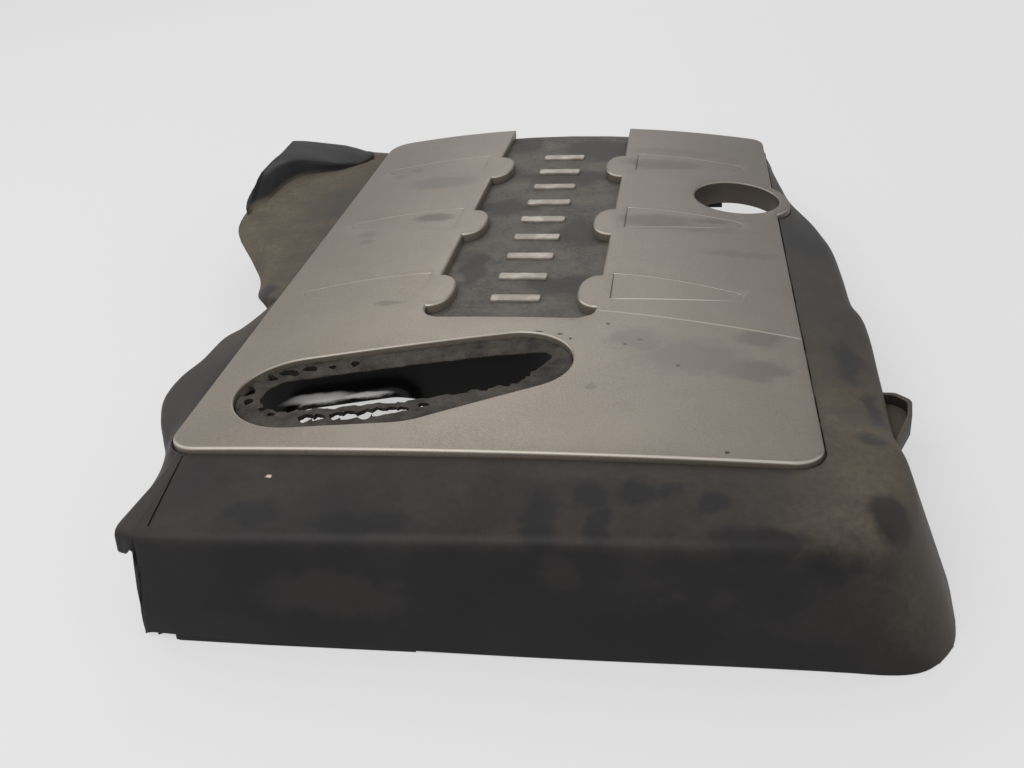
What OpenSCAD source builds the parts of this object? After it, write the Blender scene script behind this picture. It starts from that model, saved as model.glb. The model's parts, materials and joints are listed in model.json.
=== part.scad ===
// Engine top cover for a V engine: a moulded black base with a deep near end, a painted trim panel
// with a scoop slot and an oil filler hole, a recessed centre strip, foam pads and rubber sockets.
// X runs across the cover, Y along it, Z up. The origin is under the middle of the cover, on the floor.

/* [Trim panel] */
// Height of the panel's crest above the floor
cover_h = 94; // [88:1:104]
// Length of the panel, from its near edge to its far edge
panel_len = 561; // [540:1:600]
// Distance from the strip's centre line to the panel's left edge
panel_left = 178; // [172:1:186]
// Distance from the centre line to the panel's right edge, at the near end
panel_right_near = 204; // [200:1:210]
// Distance from the centre line to the panel's right edge, at the far end
panel_right_far = 178; // [172:1:184]
// How much further in the panel's near edge lies at its right end than at its left end
panel_skew = 5; // [0:0.5:8]
// Corner radius of the panel
panel_corner = 18; // [12:1:24]
// Thickness of the panel's moulding
panel_t = 2.5; // [2:0.1:3]
// How far the panel's side edges lie below its crest, at the near end
crown_near = 3; // [1:0.5:6]
// How far the panel's side edges lie below its crest, at the far end
crown_far = 15; // [11:0.5:18]
// Gap between the panel's edge and the base round it
panel_gap = 1.2; // [0.8:0.1:2]
// How far the base lies below the panel's edge, next to it
panel_proud = 3.5; // [2.5:0.1:4.5]

/* [Centre strip] */
// Half the width of the strip's opening, at its near end
strip_half_near = 60; // [55:1:64]
// Half the width of the strip's opening, at its far end
strip_half_far = 55; // [50:1:58]
// Distance from the panel's near edge to the strip's opening
strip_start = 169; // [164:1:174]
// Corner radius of the strip's opening
strip_corner = 14; // [8:1:20]
// How far the strip's face lies below the panel
strip_drop = 7.5; // [6:0.1:9]
// Thickness of the strip
strip_t = 2.5; // [2:0.1:3]
// How far the strip reaches under the panel on each side
strip_lap = 6; // [4:0.5:8]

/* [Ornament bars] */
// Number of plain raised bars on the strip
bar_count = 9; // [4:1:10]
// Length of a bar, across the strip
bar_len = 36; // [28:1:42]
// Width of a bar, along the strip
bar_w = 9; // [6:0.5:12]
// Height of a bar above the strip
bar_h = 2; // [1:0.1:3]
// Distance from the strip's near end to the first bar
bar_start = 40; // [30:1:50]
// Distance between bars
bar_pitch = 36; // [30:1:38]

/* [Tabs and pockets] */
// Number of rounded tabs on each side of the strip
tab_count = 3; // [2:1:3]
// Distance from the panel's near edge to the first tab
tab_start = 186; // [184:1:190]
// Distance between tabs
tab_pitch = 125; // [118:1:130]
// Length of a tab, along the strip
tab_len = 51; // [44:1:56]
// How far a tab reaches over the strip
tab_reach = 15; // [10:1:18]
// Distance from the centre line to the step at the head of a pocket
pocket_x = 68; // [66:1:74]
// Length of a pocket
pocket_len = 90; // [78:1:94]
// Width of a pocket at its head
pocket_w = 40; // [34:1:44]
// Depth of a pocket at its head
pocket_depth = 2.6; // [1.5:0.1:3.5]

/* [Scoop slot] */
// Radius of the slot's left end
slot_r_left = 43.5; // [40:0.5:46]
// Radius of the slot's middle
slot_r_mid = 46; // [43:0.5:48]
// Radius of the slot's right end
slot_r_right = 37; // [33:0.5:40]
// Distance from the panel's near edge to the centre of the slot's left end
slot_y = 68; // [66:1:72]
// Distance from the centre line to the centre of the slot's left end
slot_x = 109; // [106:1:112]
// Distance between the centres of the slot's two ends, across the cover
slot_span = 125; // [118:1:130]
// Distance between the centres of the slot's two ends, along the cover
slot_skew = 41; // [36:1:44]
// Depth of the panel's lip round the slot
slot_lip = 8; // [6:0.5:9]
// Depth of the duct under the slot, from the panel's face
duct_depth = 46; // [40:1:52]
// Thickness of the duct's wall
duct_t = 2.2; // [1.8:0.1:3]
// Width of the foam seal along the slot's far side
seal_w = 11.5; // [9:0.5:13]
// How much wider the seal is along its near side
seal_near = 14; // [12:0.5:15]
// Thickness of the foam seal
seal_t = 5; // [4:0.5:7]

/* [Oil filler hole] */
// Radius of the filler hole
filler_r = 34.5; // [31:0.5:36]
// Distance from the centre line to the filler hole
filler_x = 154.5; // [152:0.5:156]
// Distance from the panel's near edge to the filler hole
filler_y = 403; // [396:1:408]
// Radius of the panel's boss round the filler hole
filler_boss_r = 43.5; // [42:0.5:45]
// Depth of the panel's skirt in the filler hole
filler_skirt = 19; // [15:1:24]

/* [Base] */
// Thickness of the base's moulding
base_t = 2.6; // [2.2:0.1:3]
// Distance from the panel's near edge to the shoulder of the deep near end
shelf_reach = 60; // [54:1:66]
// How far the shelf's shoulder lies below the panel's crest
shelf_drop = 15; // [12:1:18]
// How far the near wall leans out, from shoulder to foot
near_lean = 2; // [1:0.5:6]
// How far the right wall of the near end leans out, from shoulder to foot
right_lean = 28; // [18:1:32]
// How far the shoulder of the right flange lies below the panel's crest
right_drop = 28; // [24:1:32]
// Height of the side skirts' feet above the floor
skirt_foot = 42; // [36:1:46]
// How far the left rear deck lies below the panel's crest
deck_drop = 28; // [26:1:32]
// Width of the sloped brim round the left rear deck
brim_w = 12; // [8:1:14]
// How far the brim's edge lies below the deck
brim_drop = 9; // [6:1:12]
// Height of the raised lobe's crest above the deck
lobe_h = 21; // [16:1:24]
// Thickness of the ribs
rib_t = 2; // [1.6:0.1:2.6]
// Depth of the ribs under the base's top
rib_depth = 11; // [8:0.5:12]

/* [Cup ear] */
// Distance from the panel's near edge to the ear's middle
ear_y = 105; // [98:1:112]
// Length of the ear, along the cover
ear_len = 60; // [50:1:70]
// How far the ear stands out from the flange
ear_reach = 19; // [14:0.5:22]
// How far the ear's rim lies below the flange's shoulder
ear_drop = 7; // [4:0.5:10]
// Depth of the ear's cup
ear_cup = 7; // [5:0.5:10]
// Thickness of the ear's wall
ear_t = 3; // [2.4:0.1:3.6]

/* [Grommets] */
// Radius of the ball stud's bore in a grommet
stud_r = 5; // [4:0.25:6]
// Depth of the ball stud's bore
stud_depth = 13; // [10:0.5:14]
// Outer radius of a grommet's body
grommet_r = 10; // [9:0.25:11]
// Length of a grommet's body
grommet_len = 17; // [16:0.5:20]
// Radius of a grommet's flange
grommet_flange_r = 13; // [12:0.25:14]
// Thickness of a grommet's flange
grommet_flange_t = 3; // [2:0.25:4]
// Radius of the nipple that holds a grommet in its post
nipple_r = 6; // [5:0.25:7]
// Length of a grommet's nipple
nipple_len = 7; // [5:0.5:9]
// Height of the near grommets' lower faces above the floor
near_grommet_z = 8; // [6:1:20]

/* [Clips] */
// Radius of the pins under the panel and the strip
pin_r = 2.4; // [2:0.1:3]
// How far a pin stands out under its seat
pin_out = 5; // [4:0.5:6]
// Outer radius of a push nut
nut_r = 7; // [6:0.25:8]
// Thickness of a push nut
nut_t = 0.8; // [0.6:0.1:1.2]

/* [Foam] */
// Thickness of the foam pads under the base
foam_t = 12; // [8:0.5:12]

/* [Hidden] */
$fn = 48;
seat = 0.3;             // gap between a piece and its seat
clear = 0.6;            // clearance of a piece in its hole
black = "#3b3734";
silver = "#8f897f";

// Points of the cover that more than one piece refers to
deck_z = strip_drop + strip_t + seat;      // the base's deck, below the panel's face
under_deck = deck_z + base_t;              // the deck's lower face
slot_left = [-slot_x, slot_y];
slot_right = [-slot_x + slot_span, slot_y + slot_skew];
slot_mid = [-slot_x + 0.44 * slot_span, slot_y + 0.22 * slot_skew];
filler = [filler_x, filler_y];
near_foot = -shelf_reach - near_lean;
right_shoulder = panel_right_near + 44;
left_shoulder = panel_left + 104;

function mix(a, b, t) = a + (b - a) * t;
function clip(v, low, high) = max(low, min(high, v));
function unit(v) = v / norm(v);

// The panel's face: a crown across the cover that grows from the near end to the far end
function crown_drop(y) = mix(crown_near, crown_far, y / panel_len);
function face_z(x, y) = cover_h - crown_drop(y) * pow(x / panel_left, 2);
function right_edge(y) = mix(panel_right_near, panel_right_far, y / panel_len);
function near_edge(x) = panel_skew * (x + panel_left) / (panel_left + panel_right_near);
function strip_half(y) = mix(strip_half_near, strip_half_far, (y - strip_start) / (panel_len - strip_start));

// A polygon with its corners rounded; each point is [x, y, radius]
function corner_arc(a, b, c, steps = 5) =
    let (p = [b.x, b.y], u = unit([a.x, a.y] - p), v = unit([c.x, c.y] - p),
        half = acos(u * v) / 2, cut = b[2] / tan(half), mid = p + unit(u + v) * b[2] / sin(half),
        from = p + u * cut - mid, to = p + v * cut - mid,
        turn = 180 - 2 * half, side = (from.x * to.y - from.y * to.x) > 0 ? 1 : -1)
    [for (i = [0:steps]) let (w = side * turn * i / steps)
        mid + [from.x * cos(w) - from.y * sin(w), from.x * sin(w) + from.y * cos(w)]];
function rounded(pts) = let (n = len(pts))
    [for (i = [0:n - 1]) each pts[i][2] > 0
        ? corner_arc(pts[(i + n - 1) % n], pts[i], pts[(i + 1) % n]) : [[pts[i].x, pts[i].y]]];

// A slab whose two faces follow the panel's face, from one depth below it to another
slab_x = [for (i = [-6:7]) i * 36];
slab_y = [for (i = [-1:6]) i * panel_len / 5];
module slab(top, bottom) {
    nx = len(slab_x);
    ny = len(slab_y);
    function at(i, j, k) = (k * ny + j) * nx + i;
    points = [for (d = [top, bottom], y = slab_y, x = slab_x) [x, y, face_z(x, y) - d]];
    tops = [for (j = [0:ny - 2], i = [0:nx - 2]) each
        [[at(i, j, 0), at(i, j + 1, 0), at(i + 1, j + 1, 0)], [at(i, j, 0), at(i + 1, j + 1, 0), at(i + 1, j, 0)]]];
    under = [for (j = [0:ny - 2], i = [0:nx - 2]) each
        [[at(i, j, 1), at(i + 1, j + 1, 1), at(i, j + 1, 1)], [at(i, j, 1), at(i + 1, j, 1), at(i + 1, j + 1, 1)]]];
    ends = [for (i = [0:nx - 2]) each [[at(i, 0, 0), at(i + 1, 0, 0), at(i + 1, 0, 1), at(i, 0, 1)],
        [at(i + 1, ny - 1, 0), at(i, ny - 1, 0), at(i, ny - 1, 1), at(i + 1, ny - 1, 1)]]];
    sides = [for (j = [0:ny - 2]) each [[at(0, j + 1, 0), at(0, j, 0), at(0, j, 1), at(0, j + 1, 1)],
        [at(nx - 1, j, 0), at(nx - 1, j + 1, 0), at(nx - 1, j + 1, 1), at(nx - 1, j, 1)]]];
    polyhedron(points, concat(tops, under, ends, sides));
}

// The part of a slab that lies inside a flat outline
module sheet(top, bottom) {
    intersection() {
        slab(top, bottom);
        translate([0, 0, -50]) linear_extrude(cover_h + 100) children();
    }
}

module panel_outline(grow = 0) {
    r = panel_corner + grow;
    polygon(rounded([
        [-panel_left - grow, -grow, r],
        [panel_right_near + grow, panel_skew - grow, r],
        [panel_right_far + grow, panel_len + grow, r * 0.6],
        [-panel_left - grow, panel_len + grow, r]]));
    translate(filler) circle(filler_boss_r + grow);
}

module strip_opening(grow = 0) {
    near = strip_start - grow;
    far = panel_len + 40;
    polygon(rounded([
        [-strip_half(near) - grow, near, strip_corner + grow],
        [-strip_half(far) - grow, far, 0],
        [strip_half(far) + grow, far, 0],
        [strip_half(near) + grow, near, strip_corner + grow]]));
}

// A rounded tab on the left (side = -1) or the right (side = 1) of the strip
module tab_outline(i, side) {
    y = tab_start + i * tab_pitch;
    root = strip_half(y + tab_len / 2);
    tip = root - tab_reach;
    polygon([for (p = concat([[root + 6, tab_len]], [for (a = [90:-15:-90])
        [root - tab_reach * cos(a), tab_len / 2 * (1 + sign(a) * pow(abs(sin(a)), 0.8))]], [[root + 6, 0]]))
        [side * p.x, y + p.y]]);
}

module tabs() {
    for (i = [0:tab_count - 1], side = [-1, 1]) tab_outline(i, side);
}

// The outline of a pocket: wide at its head, drawn out to a round nose away from the strip
module pocket_outline(i, side, grow = 0) {
    nose = 7 + grow;
    nose_x = pocket_len - 7;
    nose_y = 26 + 6 * i;
    low = 13 + i;
    high = low + pocket_w;
    way = [for (k = [0:12]) let (u = k / 12)
        [nose_x * (1 - u) - grow * u, mix(nose_y + nose, high + grow, 1 - pow(1 - u, 1.6))]];
    polygon([for (p = concat([[-grow, low - grow]], [for (a = [-80:20:60]) [nose_x + nose * cos(a), nose_y + nose * sin(a)]], way))
        [side * (pocket_x + p.x), tab_start + i * tab_pitch + p.y]]);
}

// What a pocket takes out of the panel: its floor rises from the head to the point
module pocket_cut(i, side) {
    y = tab_start + i * tab_pitch + tab_len / 2;
    head = [pocket_x, face_z(pocket_x, y) - pocket_depth];
    point = [pocket_x + pocket_len, face_z(pocket_x + pocket_len, y) - 0.2];
    tilt = atan2(head[1] - point[1], pocket_len);
    translate([side * head[0], 0, head[1]]) rotate([0, side * tilt, 0])
        translate([-side * head[0], 0, 0]) linear_extrude(20) pocket_outline(i, side);
}

module slot_outline(grow = 0) {
    hull() {
        translate(slot_left) circle(slot_r_left + grow);
        translate(slot_mid) circle(slot_r_mid + grow);
        translate(slot_right) circle(slot_r_right + grow);
    }
}

// Seats of the pins that hold the panel and the strip
panel_pins = concat(
    [for (t = [0.08, 0.32, 0.55, 0.77, 0.95]) [-panel_left + 10, t * panel_len]],
    [for (y = [0.08 * panel_len, 0.32 * panel_len, filler_y - filler_boss_r - 50.95,
        filler_y + filler_boss_r + 13.52, 0.95 * panel_len]) [right_edge(y) - 10, y]]);
strip_pins = [for (t = [0.08, 0.5, 0.92]) [0, mix(strip_start, panel_len, t)]];
pin_seat = under_deck + 3;                 // the flat seat of a push nut, below the panel's face

module pin(p, top) {
    z = face_z(p.x, p.y);
    translate([p.x, p.y, z - pin_seat - pin_out]) cylinder(r = pin_r, h = pin_seat + pin_out - top);
}

module push_nut(p) {
    translate([p.x, p.y, face_z(p.x, p.y) - pin_seat - seat - nut_t]) difference() {
        cylinder(r = nut_r, h = nut_t);
        translate([0, 0, -1]) cylinder(r = pin_r + 0.05, h = nut_t + 2);
        for (a = [0:120:240]) rotate(a) translate([pin_r - 0.4, -0.4, -1]) cube([2, 0.8, nut_t + 2]);
    }
}

module trim_panel() {
    color(silver) difference() {
        union() {
            sheet(0, panel_t) difference() {
                panel_outline();
                difference() {
                    strip_opening();
                    tabs();
                }
            }
            // the outer rim, turned down to the base's deck
            sheet(0.2, deck_z - seat) difference() {
                panel_outline();
                panel_outline(-panel_t);
                strip_opening(-1);
            }
            // the inner rim, turned down to the strip
            sheet(0.2, strip_drop - seat) intersection() {
                panel_outline();
                difference() {
                    strip_opening(panel_t);
                    difference() {
                        strip_opening();
                        tabs();
                    }
                }
            }
            // the thicker floors of the pockets
            sheet(0.2, panel_t + pocket_depth)
                for (i = [0:tab_count - 1], side = [-1, 1]) pocket_outline(i, side, panel_t);
            // the lips of the slot and the filler hole
            sheet(0.2, slot_lip) difference() {
                slot_outline(panel_t);
                slot_outline();
            }
            sheet(0.2, filler_skirt) translate(filler) circle(filler_r + panel_t);
            for (p = panel_pins) pin(p, 1);
        }
        for (i = [0:tab_count - 1], side = [-1, 1]) pocket_cut(i, side);
        translate([0, 0, cover_h - 60]) linear_extrude(80) slot_outline();
        translate([filler.x, filler.y, cover_h - 60]) cylinder(r = filler_r, h = 80, $fn = 72);
    }
}

module centre_strip() {
    color(black) {
        sheet(strip_drop, strip_drop + strip_t) intersection() {
            strip_opening(strip_lap);
            panel_outline(-panel_t - clear);
        }
        for (p = strip_pins) pin(p, strip_drop + 1);
    }
}

module strip_bars() {
    color(silver) sheet(strip_drop - bar_h, strip_drop) for (i = [0:bar_count - 1])
        translate([0, strip_start + bar_start + i * bar_pitch]) bar_outline();
}

module bar_outline() {
    polygon(rounded([[-bar_len / 2, -bar_w / 2, 2], [bar_len / 2, -bar_w / 2, 2],
        [bar_len / 2, bar_w / 2, 2], [-bar_len / 2, bar_w / 2, 2]]));
}

// The rim of the base, as stations round the panel: [x, y, shoulder height, drop at the panel's
// edge, foot height, lean from shoulder to foot, rounding of the shoulder]
function on_left(y, out, z, drop, foot, lean, r) = [-panel_left - out, y, z, drop, foot, lean, r];
function on_right(y, out, z, drop, foot, lean, r) = [right_edge(y) + out, y, z, drop, foot, lean, r];
function on_near(x, out, z, drop, foot, lean, r) = [x, -out, z, drop, foot, lean, r];
function on_far(x, out, z, drop, foot, lean, r) = [x, panel_len + out, z, drop, foot, lean, r];
shelf_z = cover_h - shelf_drop;
flange_z = cover_h - right_drop;
deck_level = cover_h - deck_drop;
brim_z = deck_level - brim_drop;
far_drop = deck_z + 1.5;

near_rim = [
    on_near(-panel_left - 10, shelf_reach - 6, shelf_z - 6.5, panel_proud, shelf_z - 20, 1, 4),
    on_near(-panel_left - 4, shelf_reach - 1, shelf_z - 6, panel_proud, shelf_z - 20, 1, 5),
    on_near(-panel_left + 2.5, shelf_reach + 1, shelf_z - 5.5, panel_proud, shelf_z - 20, 1, 6),
    on_near(-panel_left + 4, shelf_reach + 1, shelf_z - 5.5, panel_proud, 7, 1, 6),
    on_near(-panel_left + 12, shelf_reach + 2, shelf_z - 5.5, panel_proud, 5, near_lean, 8),
    on_near(-110, shelf_reach + 2, shelf_z - 4, panel_proud, 3, near_lean, 10),
    on_near(0, shelf_reach, shelf_z - 1, panel_proud, 0.5, near_lean, 10),
    on_near(75, shelf_reach - 1, shelf_z + 1, panel_proud, 0, near_lean, 10),
    on_near(150, shelf_reach - 2.5, shelf_z + 2, panel_proud, 0, near_lean, 12),
    on_near(panel_right_near - 8, shelf_reach - 5, shelf_z + 3, panel_proud, 0, near_lean + 2, 16)];
right_rim = [
    on_near(right_shoulder - 21, shelf_reach - 15, shelf_z + 2, panel_proud, 0, right_lean * 0.5, 20),
    on_near(right_shoulder - 7, shelf_reach - 33, shelf_z + 1, panel_proud, 0, right_lean * 0.85, 20),
    on_near(right_shoulder, 1, shelf_z, panel_proud, 0, right_lean, 16),
    on_near(right_shoulder, -34, shelf_z, panel_proud, 0, right_lean, 12),
    on_right(54, 46, shelf_z - 4, panel_proud, 4, right_lean * 0.7, 10),
    on_right(72, 46, flange_z + 3, panel_proud, 26, 9, 8),
    on_right(90, 47, flange_z, panel_proud, skirt_foot - 4, 4, 7),
    on_right(120, 48, flange_z, panel_proud, skirt_foot, 3, 7),
    on_right(159, 49, flange_z, panel_proud, skirt_foot, 3, 8),
    on_right(199, 50, flange_z, panel_proud, skirt_foot, 3, 8),
    on_right(228, 49, flange_z, panel_proud, skirt_foot, 3, 8),
    on_right(252, 44, flange_z, panel_proud, skirt_foot, 3, 8),
    on_right(299, 43, flange_z, panel_proud, skirt_foot, 3, 8),
    on_right(344, 41, flange_z, panel_proud, skirt_foot, 3, 8),
    on_right(373, 36, flange_z, panel_proud, skirt_foot, 3, 8),
    on_right(396, 30, flange_z, panel_proud, skirt_foot, 3, 6),
    on_right(437, 17, flange_z, panel_proud + 1, skirt_foot, 2, 4),
    on_right(panel_len - 84, 11, flange_z, panel_proud + 2, skirt_foot, 2, 3),
    on_right(panel_len - 51, 7, flange_z, panel_proud + 3, skirt_foot, 2, 2)];
far_rim = [
    on_right(panel_len - 24, 5, flange_z, far_drop, skirt_foot, 2, 2),
    on_far(panel_right_far - 2, 4, flange_z, far_drop, skirt_foot, 2, 2),
    on_far(panel_right_far - 24, 8, flange_z + 2, far_drop, skirt_foot, 2, 3),
    on_far(60, 10, cover_h - deck_z - 5, far_drop, skirt_foot, 2, 4),
    on_far(-60, 10, cover_h - deck_z - 5, far_drop, skirt_foot, 2, 4),
    on_far(-panel_left + 28, 10, deck_level + 2, far_drop, skirt_foot, 2, 4),
    on_far(-panel_left + 2, 14, deck_level, far_drop, brim_z, 4, 3),
    on_far(-panel_left - 26, 19, deck_level, far_drop, brim_z, 8, 3),
    on_far(-panel_left - 58, 29, deck_level, far_drop, brim_z, brim_w, 3),
    on_far(-panel_left - 84, 25, deck_level, far_drop, brim_z, brim_w, 3),
    on_far(-panel_left - 99, 2, deck_level, far_drop, brim_z, brim_w, 3)];
left_rim = [
    on_left(panel_len - 40, left_shoulder - panel_left, deck_level, far_drop, brim_z, brim_w, 3),
    on_left(panel_len - 95, left_shoulder - panel_left, deck_level, far_drop, brim_z, brim_w, 3),
    on_left(panel_len - 139, 101, deck_level, far_drop, brim_z, brim_w, 3),
    on_left(panel_len - 184, 88, deck_level, far_drop, brim_z, brim_w, 3),
    on_left(panel_len - 220, 70, deck_level, far_drop, brim_z, brim_w, 3),
    on_left(panel_len - 266, 45, deck_level, far_drop, brim_z, brim_w - 1, 3),
    on_left(panel_len - 291, 35, deck_level, far_drop, brim_z, 9, 3),
    on_left(panel_len - 309, 24, deck_level + 1, far_drop, brim_z, 6, 3),
    on_left(panel_len - 322, 12, deck_level + 4, far_drop, skirt_foot, 3, 3),
    on_left(226, 9, shelf_z - 3, panel_proud + 3, skirt_foot, 2, 3),
    on_left(197, 13, shelf_z - 1, panel_proud + 1, skirt_foot, 2, 4),
    on_left(176, 19, shelf_z - 1, panel_proud, skirt_foot, 2, 4),
    on_left(160, 27, shelf_z - 1, panel_proud, skirt_foot, 2, 4),
    on_left(130, 31, shelf_z - 1, panel_proud, skirt_foot, 2, 5),
    on_left(106, 37, shelf_z - 1, panel_proud, skirt_foot, 2, 5),
    on_left(80, 37, shelf_z - 1, panel_proud, skirt_foot, 2, 5),
    on_left(56, 29, shelf_z - 1, panel_proud, skirt_foot, 2, 5),
    on_left(36, 19, shelf_z - 2, panel_proud, skirt_foot, 2, 5),
    on_left(18, 10, shelf_z - 3, panel_proud, skirt_foot + 8, 2, 5),
    on_left(-3, 5, shelf_z - 4, panel_proud, shelf_z - 20, 2, 4),
    on_left(-30, 5, shelf_z - 5, panel_proud, shelf_z - 20, 2, 4)];
rim = concat(near_rim, right_rim, far_rim, left_rim);

// A smooth closed curve through the stations
function blend_four(a, b, c, d, t) = b + (c - a) * t / 2 + (2 * a - 5 * b + 4 * c - d) * t * t / 2
    + (3 * b - a - 3 * c + d) * t * t * t / 2;
rim_steps = 2;
stations = let (n = len(rim)) [for (i = [0:n - 1], k = [0:rim_steps - 1])
    blend_four(rim[(i + n - 1) % n], rim[i], rim[(i + 1) % n], rim[(i + 2) % n], k / rim_steps)];

// Where a station's section starts, at the panel's edge, and the way it runs
function edge_of(s) =
    let (r = panel_corner, beside = clip(s.x, -panel_left + r, panel_right_near - r),
        y = clip(s.y, near_edge(beside) + r, panel_len - r), x = clip(s.x, -panel_left + r, right_edge(y) - r),
        off = [s.x - x, s.y - y],
        way = unit(off), start = [x, y] + way * (r + panel_gap))
    [start, way, norm(off) - r - panel_gap];

// The upper side of a section: panel's edge, rounded shoulder, foot; each [distance out, height]
function section_top(s, edge) =
    let (a = [0, face_z(edge[0].x, edge[0].y) - s[3]], c = [edge[2], s[2]], f = [edge[2] + s[5], max(0, s[4])],
        r = min(s[6], norm(a - c) * 0.45, norm(f - c) * 0.45),
        p = c + unit(a - c) * r, q = c + unit(f - c) * r)
    concat([a], [for (t = [0:3]) let (u = t / 3) p * (1 - u) * (1 - u) + c * 2 * u * (1 - u) + q * u * u], [f]);
// How the lower side lies from the upper side, point by point
lower_way = [[-0.8, -1], [0, -1], [-0.5, -0.87], [-0.87, -0.5], [-1, 0], [-1, 0]];
function section_shell(s, edge) =
    let (top = section_top(s, edge)) concat(top, [for (i = [5:-1:0]) top[i] + lower_way[i] * base_t]);
function section_fill(s, edge) =
    let (top = section_top(s, edge), mid = [for (i = [0:5]) top[i] + lower_way[i] * base_t / 2])
    concat([mid[0] - [2, 0]], mid, [[mid[5][0], -1], [-3, -1]]);
function section_points(sections) = [for (i = [0:len(sections) - 1]) let (e = edge_of(stations[i]))
    for (p = sections[i]) [e[0].x + e[1].x * p[0], e[0].y + e[1].y * p[0], p[1]]];

// A closed loft through the sections of all stations
module rim_loft(sections) {
    n = len(sections);
    m = len(sections[0]);
    polyhedron(section_points(sections), [for (i = [0:n - 1], j = [0:m - 1])
        let (a = i * m + j, b = i * m + (j + 1) % m, c = ((i + 1) % n) * m + (j + 1) % m, d = ((i + 1) % n) * m + j)
        each [[a, d, c], [a, c, b]]]);
}

shell_sections = [for (s = stations) section_shell(s, edge_of(s))];
shell_points = section_points(shell_sections);
function middle(v) = (min(v) + max(v)) / 2;
centre = [middle([for (p = shell_points) p.x]), middle([for (p = shell_points) p.y])];

// All that lies under the base's upper side, for cutting ribs and posts to its shape
module under_base() {
    rim_loft([for (s = stations) section_fill(s, edge_of(s))]);
    sheet(deck_z + base_t / 2, cover_h + 20) panel_outline(panel_gap - 1);
}

// The raised lobe at the rear of the left deck
lobe_line = [[-4, -134], [2, -96], [3, -46], [-1, -1], [-17, 26], [-47, 32], [-80, 16], [-70, -6], [-61, -20],
    [-47, -25], [-28, -30], [-13, -46], [-6, -76], [-3, -107]];
module lobe_outline() {
    polygon([for (p = lobe_line) [-left_shoulder - 6 - p.x, panel_len + p.y]]);
}
module lobe_volume(inset = 0) {
    slope = atan2(lobe_h, 76);
    intersection() {
        translate([0, 0, deck_level - base_t - 0.6]) linear_extrude(lobe_h + 20)
            offset(delta = -inset) lobe_outline();
        translate([-left_shoulder, 0, deck_level + lobe_h - inset]) rotate([0, slope, 0])
            translate([-30, 0, -100]) cube([150, panel_len + 80, 100]);
        translate([-left_shoulder - 8 + inset, 0, deck_level - 4]) rotate([0, 28, 0])
            translate([0, 0, -100]) cube([150, panel_len + 80, 200]);
    }
}

// Posts for the grommets: [x, y, height of the grommet's lower face]
posts = [[-128, -30, near_grommet_z], [186, -24, near_grommet_z],
    [-left_shoulder + 48, panel_len - 100, 0], [118, panel_len - 32, 0]];
function post_foot(p) = p.z + grommet_flange_t + grommet_len + seat;

module post_outside(p) {
    translate([p.x, p.y, post_foot(p)]) {
        cylinder(r = grommet_r + 2, h = cover_h);
        for (a = [0:90:270]) rotate(a) translate([0, -rib_t / 2, 5]) cube([grommet_r + 14, rib_t, cover_h]);
    }
}
module post_inside(p) {
    translate([p.x, p.y, post_foot(p) - 1])
        cylinder(r = nipple_r + seat, h = max(nipple_len + 2, top_of(p) - post_foot(p) - 8));
}
// Height of the base's upper side over a post
function top_of(p) = p.y < 0 ? shelf_z : p.x < -panel_left ? deck_level : face_z(p.x, p.y) - deck_z;

module grommet(p) {
    translate(p) color("#262423") difference() {
        union() {
            cylinder(r = grommet_flange_r, h = grommet_flange_t);
            cylinder(r = grommet_r, h = grommet_flange_t + grommet_len);
            cylinder(r = nipple_r, h = grommet_flange_t + grommet_len + nipple_len);
        }
        translate([0, 0, -1]) cylinder(r = stud_r, h = stud_depth + 1);
        translate([0, 0, -0.01]) cylinder(r1 = stud_r + 1.5, r2 = stud_r, h = 1.5);
        translate([0, 0, stud_depth - 0.01]) cylinder(r1 = stud_r, r2 = stud_r - 2, h = 2);
    }
}

module ribs() {
    near = 8;
    for (y = [strip_start - 8, panel_len - 14]) translate([-panel_left, y]) square([panel_left * 2, rib_t]);
    for (side = [-1, 1]) translate([side * (strip_half_near + 2) - rib_t / 2, strip_start - 8])
        square([rib_t, panel_len - strip_start]);
    translate([-panel_left, near]) square([panel_left + panel_right_near, rib_t]);
}

module near_gussets() {
    for (x = [-90, -45, 0, 45, 90, 135]) translate([x, 0, 0]) rotate([90, 0, -90])
        translate([0, 0, -rib_t / 2]) linear_extrude(rib_t) polygon([[-10, cover_h], [shelf_reach + near_lean, cover_h],
            [shelf_reach + near_lean, 16], [shelf_reach - 5, 16], [shelf_reach - 12, shelf_z - 32], [-10, shelf_z - 14]]);
}

// The open cup that stands out from the right flange
module cup_ear() {
    rim = flange_z - ear_drop;
    difference() {
        translate([0, 0, rim - 2 * ear_cup]) linear_extrude(2 * ear_cup) ear_outline(0);
        translate([0, 0, rim - ear_cup]) linear_extrude(ear_cup + 1) ear_outline(ear_t);
    }
}
module ear_outline(t) {
    out = ear_reach - t;
    half = ear_len / 2 - t;
    translate([right_edge(ear_y) + 46, ear_y]) polygon(rounded([
        [-4 + 2 * t, -half, 0], [4, -half, 3], [out - 2, half * 0.1, 6], [out, half * 0.7, 8], [out * 0.5, half, 6],
        [-4 + 2 * t, half, 0]]));
}

// A mould line that parts the near end's shelf from its left end
module end_groove() {
    x = -panel_left + 13;
    from = face_z(x, 0) - panel_proud;
    to = shelf_z - 5.5;
    translate([x, 4, from + 4 * (from - to) / shelf_reach]) rotate([atan2(from - to, shelf_reach), 0, -2])
        translate([-0.8, -shelf_reach, -1.3]) cube([1.6, shelf_reach - 6, 12]);
}

// The set-back lip along the left half of the near wall's foot
module foot_lip() {
    left = -panel_left + 15;
    linear_extrude(14) polygon([[left, near_foot - 0.8], [-10, near_foot + 0.8], [-10, near_foot + 2.8],
        [left, near_foot + 1.4]]);
}

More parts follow.
